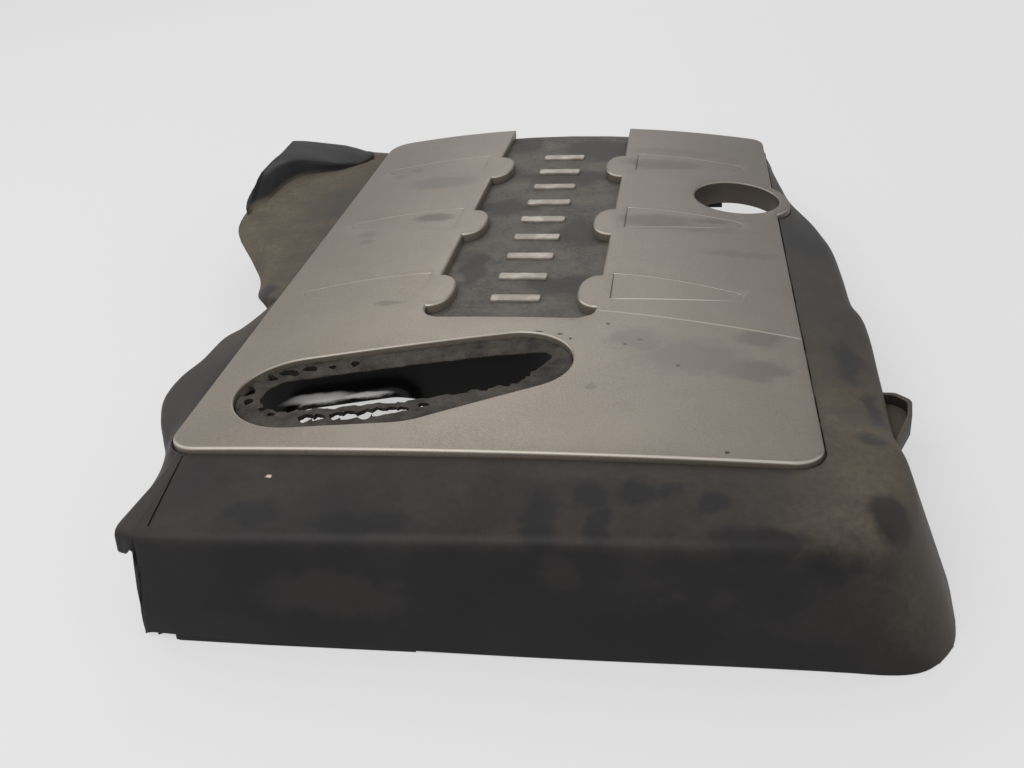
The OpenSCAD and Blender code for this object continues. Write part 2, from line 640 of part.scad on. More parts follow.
module base_cover() {
    all_pins = concat(panel_pins, strip_pins);
    color(black) difference() {
        union() {
            difference() {
                rim_loft(shell_sections);
                // room for the panel's boss round the filler hole
                translate([filler.x, filler.y, cover_h / 2]) cylinder(r = filler_boss_r + panel_gap, h = cover_h);
            }
            sheet(deck_z, under_deck) panel_outline(panel_gap + 1.5);
            lobe_volume();
            intersection() {
                under_base();
                union() {
                    for (p = posts) post_outside(p);
                    near_gussets();
                    // the step from the rim down to the deck
                    sheet(panel_proud, under_deck) difference() {
                        panel_outline(panel_gap + base_t + 0.5);
                        panel_outline(panel_gap + 0.5);
                    }
                    sheet(deck_z + 1, under_deck + rib_depth) difference() {
                        ribs();
                        slot_outline(9);
                        translate(filler) circle(filler_r + panel_t + 6);
                    }
                    translate([filler.x, filler.y, cover_h - filler_skirt - 20])
                        tube(filler_r + panel_t + 4, filler_r + panel_t + clear, cover_h);
                    for (p = all_pins) translate([p.x, p.y, face_z(p.x, p.y) - pin_seat])
                        cylinder(r = nut_r + 1.5, h = pin_seat - deck_z - 1);
                }
            }
            foot_lip();
            cup_ear();
        }
        lobe_volume(base_t);
        for (p = posts) post_inside(p);
        for (p = all_pins) translate([p.x, p.y, face_z(p.x, p.y) - pin_seat]) {
            translate([0, 0, -3]) cylinder(r = pin_r + clear, h = 40);
            translate([0, 0, -20]) cylinder(r = nut_r + 3, h = 20);
        }
        translate([0, 0, shelf_z - 60]) linear_extrude(90) slot_outline(0.5);
        translate([filler.x, filler.y, 0]) cylinder(r = filler_r + panel_t + clear, h = cover_h, $fn = 72);
        end_groove();
    }
}

module tube(outer, inner, h) {
    difference() {
        cylinder(r = outer, h = h, $fn = 72);
        translate([0, 0, -1]) cylinder(r = inner, h = h + 2, $fn = 72);
    }
}

// The duct under the slot: a wall that stands up through the deck, and a flange below it
module slot_duct() {
    color("#17171a") {
        sheet(slot_lip + 1, duct_depth) difference() {
            slot_outline(-1);
            slot_outline(-1 - duct_t);
        }
        sheet(under_deck + seat, under_deck + seat + duct_t) difference() {
            slot_outline(7);
            slot_outline(-1.5);
        }
    }
}

// The foam seal in the slot, wider at its near side, where it has crumbled into holes
module slot_seal() {
    k = seal_near / 14;
    color("#35322f") sheet(slot_lip + 1 - seat - seal_t, slot_lip + 1 - seat) difference() {
        slot_outline(-seat - 0.2);
        hull() {
            translate(slot_left + k * [-13, 4]) circle(slot_r_left - seal_w - 12 * k);
            translate(slot_mid + k * [4, 8]) circle(slot_r_mid - seal_w - 14 * k);
            translate(slot_right - k * [10, 4]) circle(slot_r_right - seal_w - 5.5 * k);
            translate(slot_right + k * [15, 14]) circle(6.5 * k);
        }
        for (c = crumbled) translate(slot_left + [c.x * slot_span, c.y * slot_span]) circle(c[2], $fn = 12);
    }
}
// Holes and nibbles in the seal: [across, along, radius], the first two as parts of the slot's span
crumbled = [[0.04, -0.21, 4], [0.1, -0.2, 3], [0.19, -0.2, 3.6], [0.28, -0.185, 4.4], [0.34, -0.165, 3.6],
    [0.42, -0.16, 4.2], [0.48, -0.135, 3.2], [0.6, -0.09, 2.4], [0.85, 0.06, 3.6], [0.93, 0.13, 3]];

module foam_pad(side) {
    color("#4a4643") sheet(under_deck + seat, under_deck + seat + foam_t) difference() {
        translate([side > 0 ? strip_half_near + 5 : -panel_left + 20, strip_start + 2])
            square([panel_left - 25 - strip_half_near, panel_len - strip_start - 20]);
        translate(filler) circle(filler_r + panel_t + 6);
        translate(posts[3]) circle(grommet_r + 16);
    }
}

module place() { translate([-centre.x, -centre.y, 0]) children(); }

place() base_cover();
place() trim_panel();
place() centre_strip();
place() strip_bars();
place() slot_duct();
place() slot_seal();
place() foam_pad(-1);  // foam_pad_left
place() foam_pad(1);  // foam_pad_right
place() grommet(posts[0]);  // grommet_near_left
place() grommet(posts[1]);  // grommet_near_right
place() grommet(posts[2]);  // grommet_far_left
place() grommet(posts[3]);  // grommet_far_right
place() color("silver") for (p = panel_pins) push_nut(p);  // panel_push_nuts
place() color("silver") for (p = strip_pins) push_nut(p);  // strip_push_nuts
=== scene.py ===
"""Engine top cover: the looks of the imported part, modelled around its fixed frame."""

import json
import math

import bmesh
import bpy
from bpy.props import FloatProperty, FloatVectorProperty, IntProperty, PointerProperty
from mathutils import Matrix, Vector
from mathutils.bvhtree import BVHTree


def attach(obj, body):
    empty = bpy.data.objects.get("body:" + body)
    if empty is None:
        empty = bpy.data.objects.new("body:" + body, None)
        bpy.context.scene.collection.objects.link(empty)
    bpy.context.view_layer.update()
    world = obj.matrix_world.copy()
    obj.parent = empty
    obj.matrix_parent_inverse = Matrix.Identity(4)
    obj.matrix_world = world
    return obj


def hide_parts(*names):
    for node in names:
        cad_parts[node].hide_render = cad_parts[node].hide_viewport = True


bl_info = {
    "name": "Engine Top Cover",
    "version": (1, 0, 0),
    "blender": (4, 5, 0),
    "location": "View3D > Sidebar > Cover",
    "description": "Models a worn engine top cover around its packed solids",
    "category": "Object",
}

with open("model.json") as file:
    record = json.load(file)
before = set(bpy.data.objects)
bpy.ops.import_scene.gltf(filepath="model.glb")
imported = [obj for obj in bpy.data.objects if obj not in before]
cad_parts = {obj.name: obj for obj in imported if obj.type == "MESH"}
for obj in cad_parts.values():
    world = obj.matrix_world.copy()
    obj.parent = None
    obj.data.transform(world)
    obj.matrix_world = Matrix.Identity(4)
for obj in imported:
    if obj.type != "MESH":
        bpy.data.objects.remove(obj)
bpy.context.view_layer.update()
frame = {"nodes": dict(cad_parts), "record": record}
NODES = frame["nodes"]

# Sizes below are in the part's own millimetres: X from the strip's centre line, Y from the panel's
# near-left edge, Z from the floor. The first stud socket says where those axes lie in the frame.
MM = 0.001
STUD = frame["record"]["mounts"][0]["pos_m"]
ORIGIN = Vector((STUD[0] + 128 * MM, STUD[1] + 30 * MM, 0))

COVER_H, PANEL_LEN, PANEL_LEFT, PANEL_RIGHT_NEAR, PANEL_RIGHT_FAR = 94, 561, 178, 204, 178
PANEL_CORNER, PANEL_GAP, PANEL_SKEW, PANEL_WALL = 18, 1.2, 5, 2.5
STRIP_START, STRIP_DROP = 169, 7.5
TAB_START, TAB_PITCH, TAB_LEN, TAB_REACH = 186, 125, 51, 15
POCKET_X, POCKET_LEN, POCKET_W = 68, 90, 40
SLOT = [((-113, 67.7), 43.5), ((-54, 77), 46), ((16, 109), 37)]
FILLER, FILLER_R, BOSS_R = (154.5, 403), 34.5, 43.5
SIDES = (-1, 1)
BAR_START, BAR_PITCH, BAR_HALF_LEN, BAR_HALF_W, BAR_H = 40, 36, 18, 4.5, 2

# The camera: its place in the part's millimetres; its tilt down, turn to the left and roll in degrees;
# its sensor and focal length in millimetres, the second as 1217 pixels of a picture 1024 wide
CAMERA_PLACE, CAMERA_TURN = (148.37, -557.3, 468.35), (30.03, 11.51, 4.72)
SENSOR = 36
FOCAL_LENGTH = SENSOR * 1217 / 1024
# Each lamp: name, place and size in metres, watts
LAMPS = (("key", (-0.35, -1.1, 1.3), 0.8, 11), ("fill", (-1.3, 0.3, 1.3), 1.2, 6),
         ("back", (-0.2, 1.6, 1.3), 1.0, 5))
WORLD_LIGHT = 0.66
# How much of the floor's look is its plain colour; the rest takes light and the object's shadow
FLOOR_SHOWN = 0.72
# Settings that all nodes of a kind share
SHARED_SETTINGS = {"MapRange": {"interpolation_type": "SMOOTHSTEP"}, "Mix": {"data_type": "RGBA"},
                   "TexGradient": {"gradient_type": "SPHERICAL"}}


def at(x, y, z):
    """A place in the part's own millimetres, as a place in the frame's metres."""
    return ORIGIN + Vector((x, y, z)) * MM


def place_of(point):
    """A place in the frame's metres, as one in the part's own millimetres."""
    return (point - ORIGIN) / MM


def mix(a, b, t):
    """A value part of the way from one to another."""
    return a + (b - a) * t


def clip(value, low, high):
    """A value kept between two others."""
    return max(low, min(high, value))


def eased(t):
    """A smooth step from 0 to 1."""
    t = clip(t, 0, 1)
    return t * t * (3 - 2 * t)


def face_z(x, y):
    """Height of the panel's crowned face."""
    return COVER_H - mix(3, 15, y / PANEL_LEN) * (x / PANEL_LEFT) ** 2


def right_edge(y):
    """Where the panel's right edge lies: it runs slightly inwards."""
    return mix(PANEL_RIGHT_NEAR, PANEL_RIGHT_FAR, y / PANEL_LEN)


def strip_half(y):
    """Half the width of the centre strip's opening."""
    return mix(60, 55, (y - STRIP_START) / (PANEL_LEN - STRIP_START))


# Outlines


def rounded(corners, steps=12):
    """A polygon with its corners rounded; each corner is (x, y, radius)."""
    outline = []
    for i, (x, y, radius) in enumerate(corners):
        corner = Vector((x, y))
        back = (Vector(corners[i - 1][:2]) - corner).normalized()
        ahead = (Vector(corners[(i + 1) % len(corners)][:2]) - corner).normalized()
        if not radius:
            outline.append((x, y))
            continue
        half = back.angle(ahead) / 2
        middle = corner + (back + ahead).normalized() * radius / math.sin(half)
        start = corner + back * radius / math.tan(half) - middle
        turn = math.pi - 2 * half
        if start.x * (corner + ahead - middle).y - start.y * (corner + ahead - middle).x < 0:
            turn = -turn
        for k in range(steps + 1):
            spot = Matrix.Rotation(turn * k / steps, 2) @ start + middle
            outline.append((spot.x, spot.y))
    return outline


def circle(centre, radius, steps=72):
    """Points round a circle."""
    turns = [math.tau * k / steps for k in range(steps)]
    return [(centre[0] + radius * math.cos(turn), centre[1] + radius * math.sin(turn)) for turn in turns]


def panel_outline(grow=0):
    """The trim panel's outer edge."""
    r = PANEL_CORNER + grow
    return rounded([(-PANEL_LEFT - grow, -grow, r), (PANEL_RIGHT_NEAR + grow, PANEL_SKEW - grow, r),
                    (PANEL_RIGHT_FAR + grow, PANEL_LEN + grow, r * 0.6),
                    (-PANEL_LEFT - grow, PANEL_LEN + grow, r)])


def strip_outline(grow=0):
    """The opening over the centre strip, which runs out past the far edge."""
    near, far = STRIP_START - grow, PANEL_LEN + 40
    return rounded([(-strip_half(near) - grow, near, 14 + grow), (-strip_half(far) - grow, far, 0),
                    (strip_half(far) + grow, far, 0), (strip_half(near) + grow, near, 14 + grow)])


def tab_outline(i, side):
    """A round-ended tab that reaches over the strip."""
    y = TAB_START + i * TAB_PITCH
    root = strip_half(y + TAB_LEN / 2)
    outline = [(root + 6, TAB_LEN)]
    for k in range(25):
        a = math.radians(90 - 7.5 * k)
        bend = math.copysign(abs(math.sin(a)) ** 0.8, math.sin(a)) if k != 12 else 0
        outline.append((root - TAB_REACH * math.cos(a), TAB_LEN / 2 * (1 + bend)))
    outline.append((root + 6, 0))
    return [(side * x, y + out) for x, out in outline]


def pocket_outline(i, side):
    """Wide at its head, drawn out to a round nose away from the strip."""
    nose, nose_x, nose_y = 7, POCKET_LEN - 7, 26 + 6 * i
    low = 13 + i
    high = low + POCKET_W
    outline = [(0, low)]
    for k in range(11):
        a = math.radians(-80 + 14 * k)
        outline.append((nose_x + nose * math.cos(a), nose_y + nose * math.sin(a)))
    for k in range(25):
        u = k / 24
        outline.append((nose_x * (1 - u), mix(nose_y + nose, high, 1 - (1 - u) ** 1.6)))
    return [(side * (POCKET_X + x), TAB_START + i * TAB_PITCH + y) for x, y in outline]


def hull_outline(discs, count=200, turns=720):
    """The line round some discs, in even steps, each with its outward direction."""
    corners = []
    for k in range(turns):
        way = Vector((math.cos(math.tau * k / turns), math.sin(math.tau * k / turns)))
        centre, radius = max(discs, key=lambda disc: Vector(disc[0]).dot(way) + disc[1])
        corners.append(Vector(centre) + way * radius)
    lengths = [(corners[(k + 1) % turns] - corners[k]).length for k in range(turns)]
    total, walked, k, outline = sum(lengths), 0, 0, []
    for step in range(count):
        goal = total * step / count
        while walked + lengths[k] < goal:
            walked += lengths[k]
            k += 1
        outline.append(corners[k].lerp(corners[(k + 1) % turns], (goal - walked) / max(lengths[k], 1e-9)))
    ways = []
    for k in range(count):
        along = outline[(k + 1) % count] - outline[k - 1]
        ways.append(Vector((along.y, -along.x)).normalized())
    return list(zip(outline, ways))


SLOT_LINE = hull_outline(SLOT)


def slot_outline(grow=0):
    """The scoop slot's edge."""
    return [tuple(point + way * grow) for point, way in SLOT_LINE]


# Modelling by hand


def select_only(piece):
    """Makes a piece the only one selected, and active."""
    bpy.ops.object.select_all(action="DESELECT")
    piece.select_set(True)
    bpy.context.view_layer.objects.active = piece


def open_mesh(piece):
    """Enters edit mode with nothing selected, and gives the mesh to select in."""
    select_only(piece)
    bpy.ops.object.mode_set(mode="EDIT")
    bpy.ops.mesh.select_mode(type="VERT")
    bpy.ops.mesh.select_all(action="DESELECT")
    return bmesh.from_edit_mesh(piece.data)


def close_mesh(outwards=True):
    """Leaves edit mode, with the faces turned outwards."""
    if outwards:
        bpy.ops.mesh.select_all(action="SELECT")
        bpy.ops.mesh.normals_make_consistent(inside=False)
    bpy.ops.object.mode_set(mode="OBJECT")


def modify(piece, kind, **settings):
    """Adds a modifier and applies it."""
    select_only(piece)
    modifier = piece.modifiers.new(kind.title(), kind)
    for name, value in settings.items():
        setattr(modifier, name, value)
    bpy.ops.object.modifier_apply(modifier=modifier.name)


def combine(piece, tool, operation):
    """Joins a second solid to a piece, or cuts it away, and deletes it."""
    modify(piece, "BOOLEAN", operation=operation, solver="MANIFOLD", object=tool)
    bpy.data.objects.remove(tool)


def plate(name, outline, top, bottom):
    """A flat plate: a filled circle whose points are moved onto an outline, pulled down."""
    bpy.ops.object.select_all(action="DESELECT")
    bpy.ops.mesh.primitive_circle_add(vertices=len(outline), fill_type="NGON")
    piece = bpy.context.object
    piece.name = piece.data.name = name
    for vertex, (x, y) in zip(piece.data.vertices, outline):
        vertex.co = at(x, y, top)
    bpy.ops.object.mode_set(mode="EDIT")
    bpy.ops.mesh.select_all(action="SELECT")
    bpy.ops.mesh.extrude_region_move(TRANSFORM_OT_translate={"value": (0, 0, (bottom - top) * MM)})
    close_mesh()
    return piece


def pulled(name, rings, closed=False):
    """A circle moved onto the first ring, then pulled out ring by ring."""
    bpy.ops.object.select_all(action="DESELECT")
    bpy.ops.mesh.primitive_circle_add(vertices=len(rings[0]), fill_type="NOTHING")
    piece = bpy.context.object
    piece.name = piece.data.name = name
    order = piece.data.attributes.new("order", "INT", "POINT")
    order.data.foreach_set("value", list(range(len(rings[0]))))
    for vertex, point in zip(piece.data.vertices, rings[0]):
        vertex.co = at(*point)
    bpy.ops.object.mode_set(mode="EDIT")
    bpy.ops.mesh.select_all(action="SELECT")
    for ring in rings[1:]:
        bpy.ops.mesh.extrude_region_move()
        mesh = bmesh.from_edit_mesh(piece.data)
        layer = mesh.verts.layers.int["order"]
        for vertex in mesh.verts:
            if vertex.select:
                vertex.co = at(*ring[vertex[layer]])
        bmesh.update_edit_mesh(piece.data)
    if closed:
        bpy.ops.mesh.select_all(action="DESELECT")
        bpy.ops.mesh.select_non_manifold()
        bpy.ops.mesh.bridge_edge_loops()
    close_mesh()
    piece.data.attributes.remove(piece.data.attributes["order"])
    return piece


def round_edges(piece, width, segments, wanted, clamp=False):
    """Bevels the edges between a level face and an upright one whose middles are wanted."""
    mesh = open_mesh(piece)
    bpy.ops.mesh.select_mode(type="EDGE")
    for edge in mesh.edges:
        slopes = sorted(abs(face.normal.z) for face in edge.link_faces)
        middle = place_of((edge.verts[0].co + edge.verts[1].co) / 2)
        if len(slopes) == 2 and slopes[0] < 0.3 and slopes[1] > 0.9 and wanted(middle):
            edge.select_set(True)
    bmesh.update_edit_mesh(piece.data)
    bpy.ops.mesh.bevel(offset=width * MM, segments=segments, affect="EDGES", clamp_overlap=clamp)
    close_mesh(outwards=False)


def cut_across(point, direction):
    """Cuts a mesh along a plane and keeps both sides."""
    bpy.ops.mesh.select_all(action="SELECT")
    bpy.ops.mesh.bisect(plane_co=at(*point), plane_no=direction)


def shade(piece, angle):
    """Shades a piece smooth across edges flatter than an angle."""
    select_only(piece)
    bpy.ops.object.shade_smooth_by_angle(angle=math.radians(angle))


def copy_of(node, name):
    """A piece of its own made from a CAD node's mesh, with its loose triangles merged."""
    piece = bpy.data.objects.new(name, NODES[node].data.copy())
    bpy.context.scene.collection.objects.link(piece)
    piece.data.name = name
    piece.data.materials.clear()
    open_mesh(piece)
    bpy.ops.mesh.select_all(action="SELECT")
    bpy.ops.mesh.remove_doubles(threshold=0.002 * MM)
    close_mesh(outwards=False)
    return piece


def keep(piece, material, slot, *nodes):
    """Gives a finished piece its material and its place in the frame."""
    piece.data.materials.clear()
    piece.data.materials.append(material)
    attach(piece, "root")
    if nodes:
        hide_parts(*nodes)


# Materials


def linear(code):
    """An sRGB hex colour as linear light."""
    parts = [int(code[i:i + 2], 16) / 255 for i in (0, 2, 4)]
    return tuple(p / 12.92 if p <= 0.04045 else ((p + 0.055) / 1.055) ** 2.4 for p in parts) + (1,)


def link(owner, source, socket):
    """Links a node's first live output, or the output that is given, to an input."""
    if isinstance(source, bpy.types.Node):
        source = next(output for output in source.outputs if output.enabled)
    owner.node_tree.links.new(source, socket)


def node(owner, kind, *inputs, **settings):
    """Adds a node with its settings, and fills its live inputs in order: what is a node or an output is
    linked, a hex code is a colour, and None leaves the input as it is."""
    made = owner.node_tree.nodes.new("ShaderNode" + kind)
    for name, value in {**SHARED_SETTINGS.get(kind, {}), **settings}.items():
        setattr(made, name, value)
    for socket, value in zip([socket for socket in made.inputs if socket.enabled], inputs):
        if isinstance(value, (bpy.types.Node, bpy.types.NodeSocket)):
            link(owner, value, socket)
        elif value is not None:
            socket.default_value = linear(value) if isinstance(value, str) else value
    return made


def row_of(owner, kind, first, *others, **settings):
    """The same node again and again: each works on the one before it and on the next value."""
    for other in others:
        first = node(owner, kind, first, other, **settings)
    return first


def new_material(name, **values):
    """A material and its shader, with the shader's plain values set."""
    material = bpy.data.materials.new(name)
    material.use_nodes = True
    shader = material.node_tree.nodes["Principled BSDF"]
    for key, value in values.items():
        shader.inputs[key.replace("_", " ")].default_value = value
    return material, shader


def feed(material, shader, **sources):
    """Links nodes to the shader's inputs."""
    for key, source in sources.items():
        link(material, source, shader.inputs[key.replace("_", " ")])


def patches(material, place, spots, edge_mm=14, wobble_mm=9):
    """Soft patches at places on the cover: each is (x, y, z, half width, half length, half height)."""
    ragged = node(material, "TexNoise", place, 1 / (edge_mm * MM), 3.0).outputs["Color"]
    centred = node(material, "VectorMath", ragged, (0.5, 0.5, 0.5), operation="SUBTRACT")
    moved = node(material, "VectorMath", centred, (wobble_mm * MM * 2,) * 3, place, operation="MULTIPLY_ADD")
    total = None
    for x, y, z, wide, long, high in spots:
        scale = Vector((1 / wide, 1 / long, 1 / high)) / MM
        centre = at(x, y, z)
        shift = tuple(-centre[k] * scale[k] for k in range(3))
        spread = node(material, "Mapping", moved, shift, None, tuple(scale))
        ball = node(material, "TexGradient", spread)
        total = ball if total is None else node(material, "Math", total, ball, operation="MAXIMUM")
    return node(material, "MapRange", total, 0.0, 0.55)


def upward(material, low, high):
    """How much a surface faces up, from 0 to 1."""
    normal = node(material, "NewGeometry").outputs["Normal"]
    split = node(material, "SeparateXYZ", normal)
    return node(material, "MapRange", split.outputs["Z"], low, high)


def dusty_plastic():
    """Injection-moulded polyamide with a fine grain, black gone blue-grey, under engine-bay dust."""
    material, shader = new_material("dusty_moulded_polyamide", Roughness=0.62, IOR=1.53,
                                    Specular_IOR_Level=0.2)
    place = node(material, "TexCoord").outputs["Object"]
    split = node(material, "SeparateXYZ", place)
    cloud = node(material, "TexNoise", place, 1 / (45 * MM), 6.0, 0.6)
    fine = node(material, "TexNoise", place, 1 / (4 * MM), 5.0, 0.65)
    # dust settles on what faces up, most of it on the left rear deck, least on the far right flange
    across, along = split.outputs["X"], split.outputs["Y"]
    deck = row_of(material, "Math", node(material, "MapRange", across, -0.1, -0.19),
                  node(material, "MapRange", along, -0.16, -0.02), 0.33, operation="MULTIPLY")
    flange = row_of(material, "Math", node(material, "MapRange", across, 0.17, 0.22),
                    node(material, "MapRange", along, -0.02, -0.2), 0.2, operation="MULTIPLY")
    right = node(material, "MapRange", across, -0.06, 0.2, 0.0, 0.05)
    settled = row_of(material, "Math", deck, 0.05, flange, right, operation="ADD")
    speckled = row_of(material, "Math", settled, upward(material, -0.2, 0.95),
                      node(material, "MapRange", cloud, 0.32, 0.66, 0.72, 1.25),
                      node(material, "MapRange", fine, 0.3, 0.7, 0.8, 1.2), operation="MULTIPLY")
    streaked = patches(material, place, [
        (232, -55, 60, 26, 24, 30), (128, -66, 46, 40, 12, 22), (60, -66, 58, 30, 12, 20),
        (-60, -64, 40, 60, 12, 24), (200, -66, 30, 40, 20, 20), (100, -60, 76, 30, 10, 10)],
        edge_mm=24, wobble_mm=16)
    dusted = node(material, "Math", speckled, node(material, "Math", streaked, 0.04, operation="MULTIPLY"),
                  operation="MAXIMUM")
    wiped = patches(material, place, [
        (52, -45, 84, 15, 32, 24), (77, -24, 84, 13, 16, 18), (84, -44, 84, 10, 20, 18),
        (104, -21, 84, 14, 16, 16), (118, -19, 83, 10, 12, 16), (142, -27, 82, 11, 13, 16),
        (170, -52, 80, 34, 14, 18), (205, -62, 70, 30, 16, 24), (236, -25, 78, 18, 22, 24),
        (224, 146, 66, 16, 40, 20), (237, 90, 62, 9, 38, 24), (230, 46, 72, 12, 12, 20),
        (-110, -45, 82, 24, 14, 16), (-45, -50, 80, 40, 12, 16), (204, 340, 60, 40, 90, 30),
        (-212, 262, 60, 16, 14, 20)])
    # the raised lobe has kept hardly any dust
    bare = row_of(material, "Math", node(material, "MapRange", across, -0.17, -0.19),
                  node(material, "MapRange", along, 0.12, 0.15),
                  node(material, "MapRange", split.outputs["Z"], 0.067, 0.0705), operation="MULTIPLY")
    wiped_and_sheen = node(material, "Math", node(material, "Math", wiped, 0.85, operation="MULTIPLY"), bare,
                  operation="MAXIMUM")
    left = node(material, "Math", dusted, node(material, "Math", 1.0, wiped_and_sheen, operation="SUBTRACT"),
                operation="MULTIPLY")
    base = node(material, "Mix", node(material, "MapRange", cloud, 0.35, 0.7), "141316", "1b191b")
    dirty = node(material, "Mix", left, base, "7f7362")
    chips = patches(material, place, [
        (-107.4, -16.9, 84, 2.6, 1.7, 10), (152.3, -63, 72, 1.6, 3, 3), (156, -64, 70, 1.6, 3, 3),
        (110, -62, 73, 2.6, 3, 1.4), (186.5, -62, 70, 1.4, 3, 1.4)], edge_mm=2, wobble_mm=1.2)
    coloured = node(material, "Mix", chips, dirty, "b8ad9a")
    feed(material, shader, Base_Color=coloured)
    feed(material, shader, Roughness=node(material, "MapRange", left, 0.0, 0.5, 0.5, 0.85))
    # the moulded grain is about 0.6 mm; it is drawn at 1.2 mm so that it shows
    feed(material, shader,
         Normal=node(material, "Bump", 0.35, 0.12 * MM, None,
                     node(material, "TexNoise", place, 1 / (1.2 * MM), 2.0, 0.55)))
    return material


def part_place(material, place):
    """A place in the part's own millimetres, split into its three numbers."""
    moved = node(material, "Mapping", place, tuple(-ORIGIN / MM), None, (1 / MM,) * 3)
    return node(material, "SeparateXYZ", moved)


def ridge(material, split, start, slope, length, half_width):
    """A thin band along a straight line on the panel, faded out at its far end."""
    along = node(material, "Math", split.outputs["X"], start[0], operation="SUBTRACT")
    climb = node(material, "Math", along, slope, operation="MULTIPLY")
    beside = row_of(material, "Math", split.outputs["Y"], start[1], climb, operation="SUBTRACT")
    band = node(material, "MapRange", node(material, "Math", beside, operation="ABSOLUTE"), half_width,
                half_width * 0.4)
    return row_of(material, "Math", band, node(material, "MapRange", along, 0, 8),
                  node(material, "MapRange", along, length, length - 25), operation="MULTIPLY")


def crease(material, split):
    """Two bands along the curved crease on the panel's right half: the step down and a painted highlight
    line.
    """
    along = node(material, "Math", split.outputs["X"], 56.4, operation="SUBTRACT")
    slope = node(material, "Math", node(material, "Math", along, 0.0005, operation="MULTIPLY"), 0.115,
                 operation="ADD")
    bend = node(material, "Math", slope, along, operation="MULTIPLY")
    side = node(material, "Math", node(material, "Math", split.outputs["Y"], bend, operation="ADD"), 181.1,
                operation="SUBTRACT")
    ends = node(material, "MapRange", along, -8, 6)
    step = row_of(material, "Math", node(material, "MapRange", side, -1.5, 0.2), ends,
                  node(material, "MapRange", side, 20, 2), operation="MULTIPLY")
    line = row_of(material, "Math", node(material, "MapRange", side, -1.9, -0.9),
                  node(material, "MapRange", side, 0.5, -0.3), ends, operation="MULTIPLY")
    return step, line


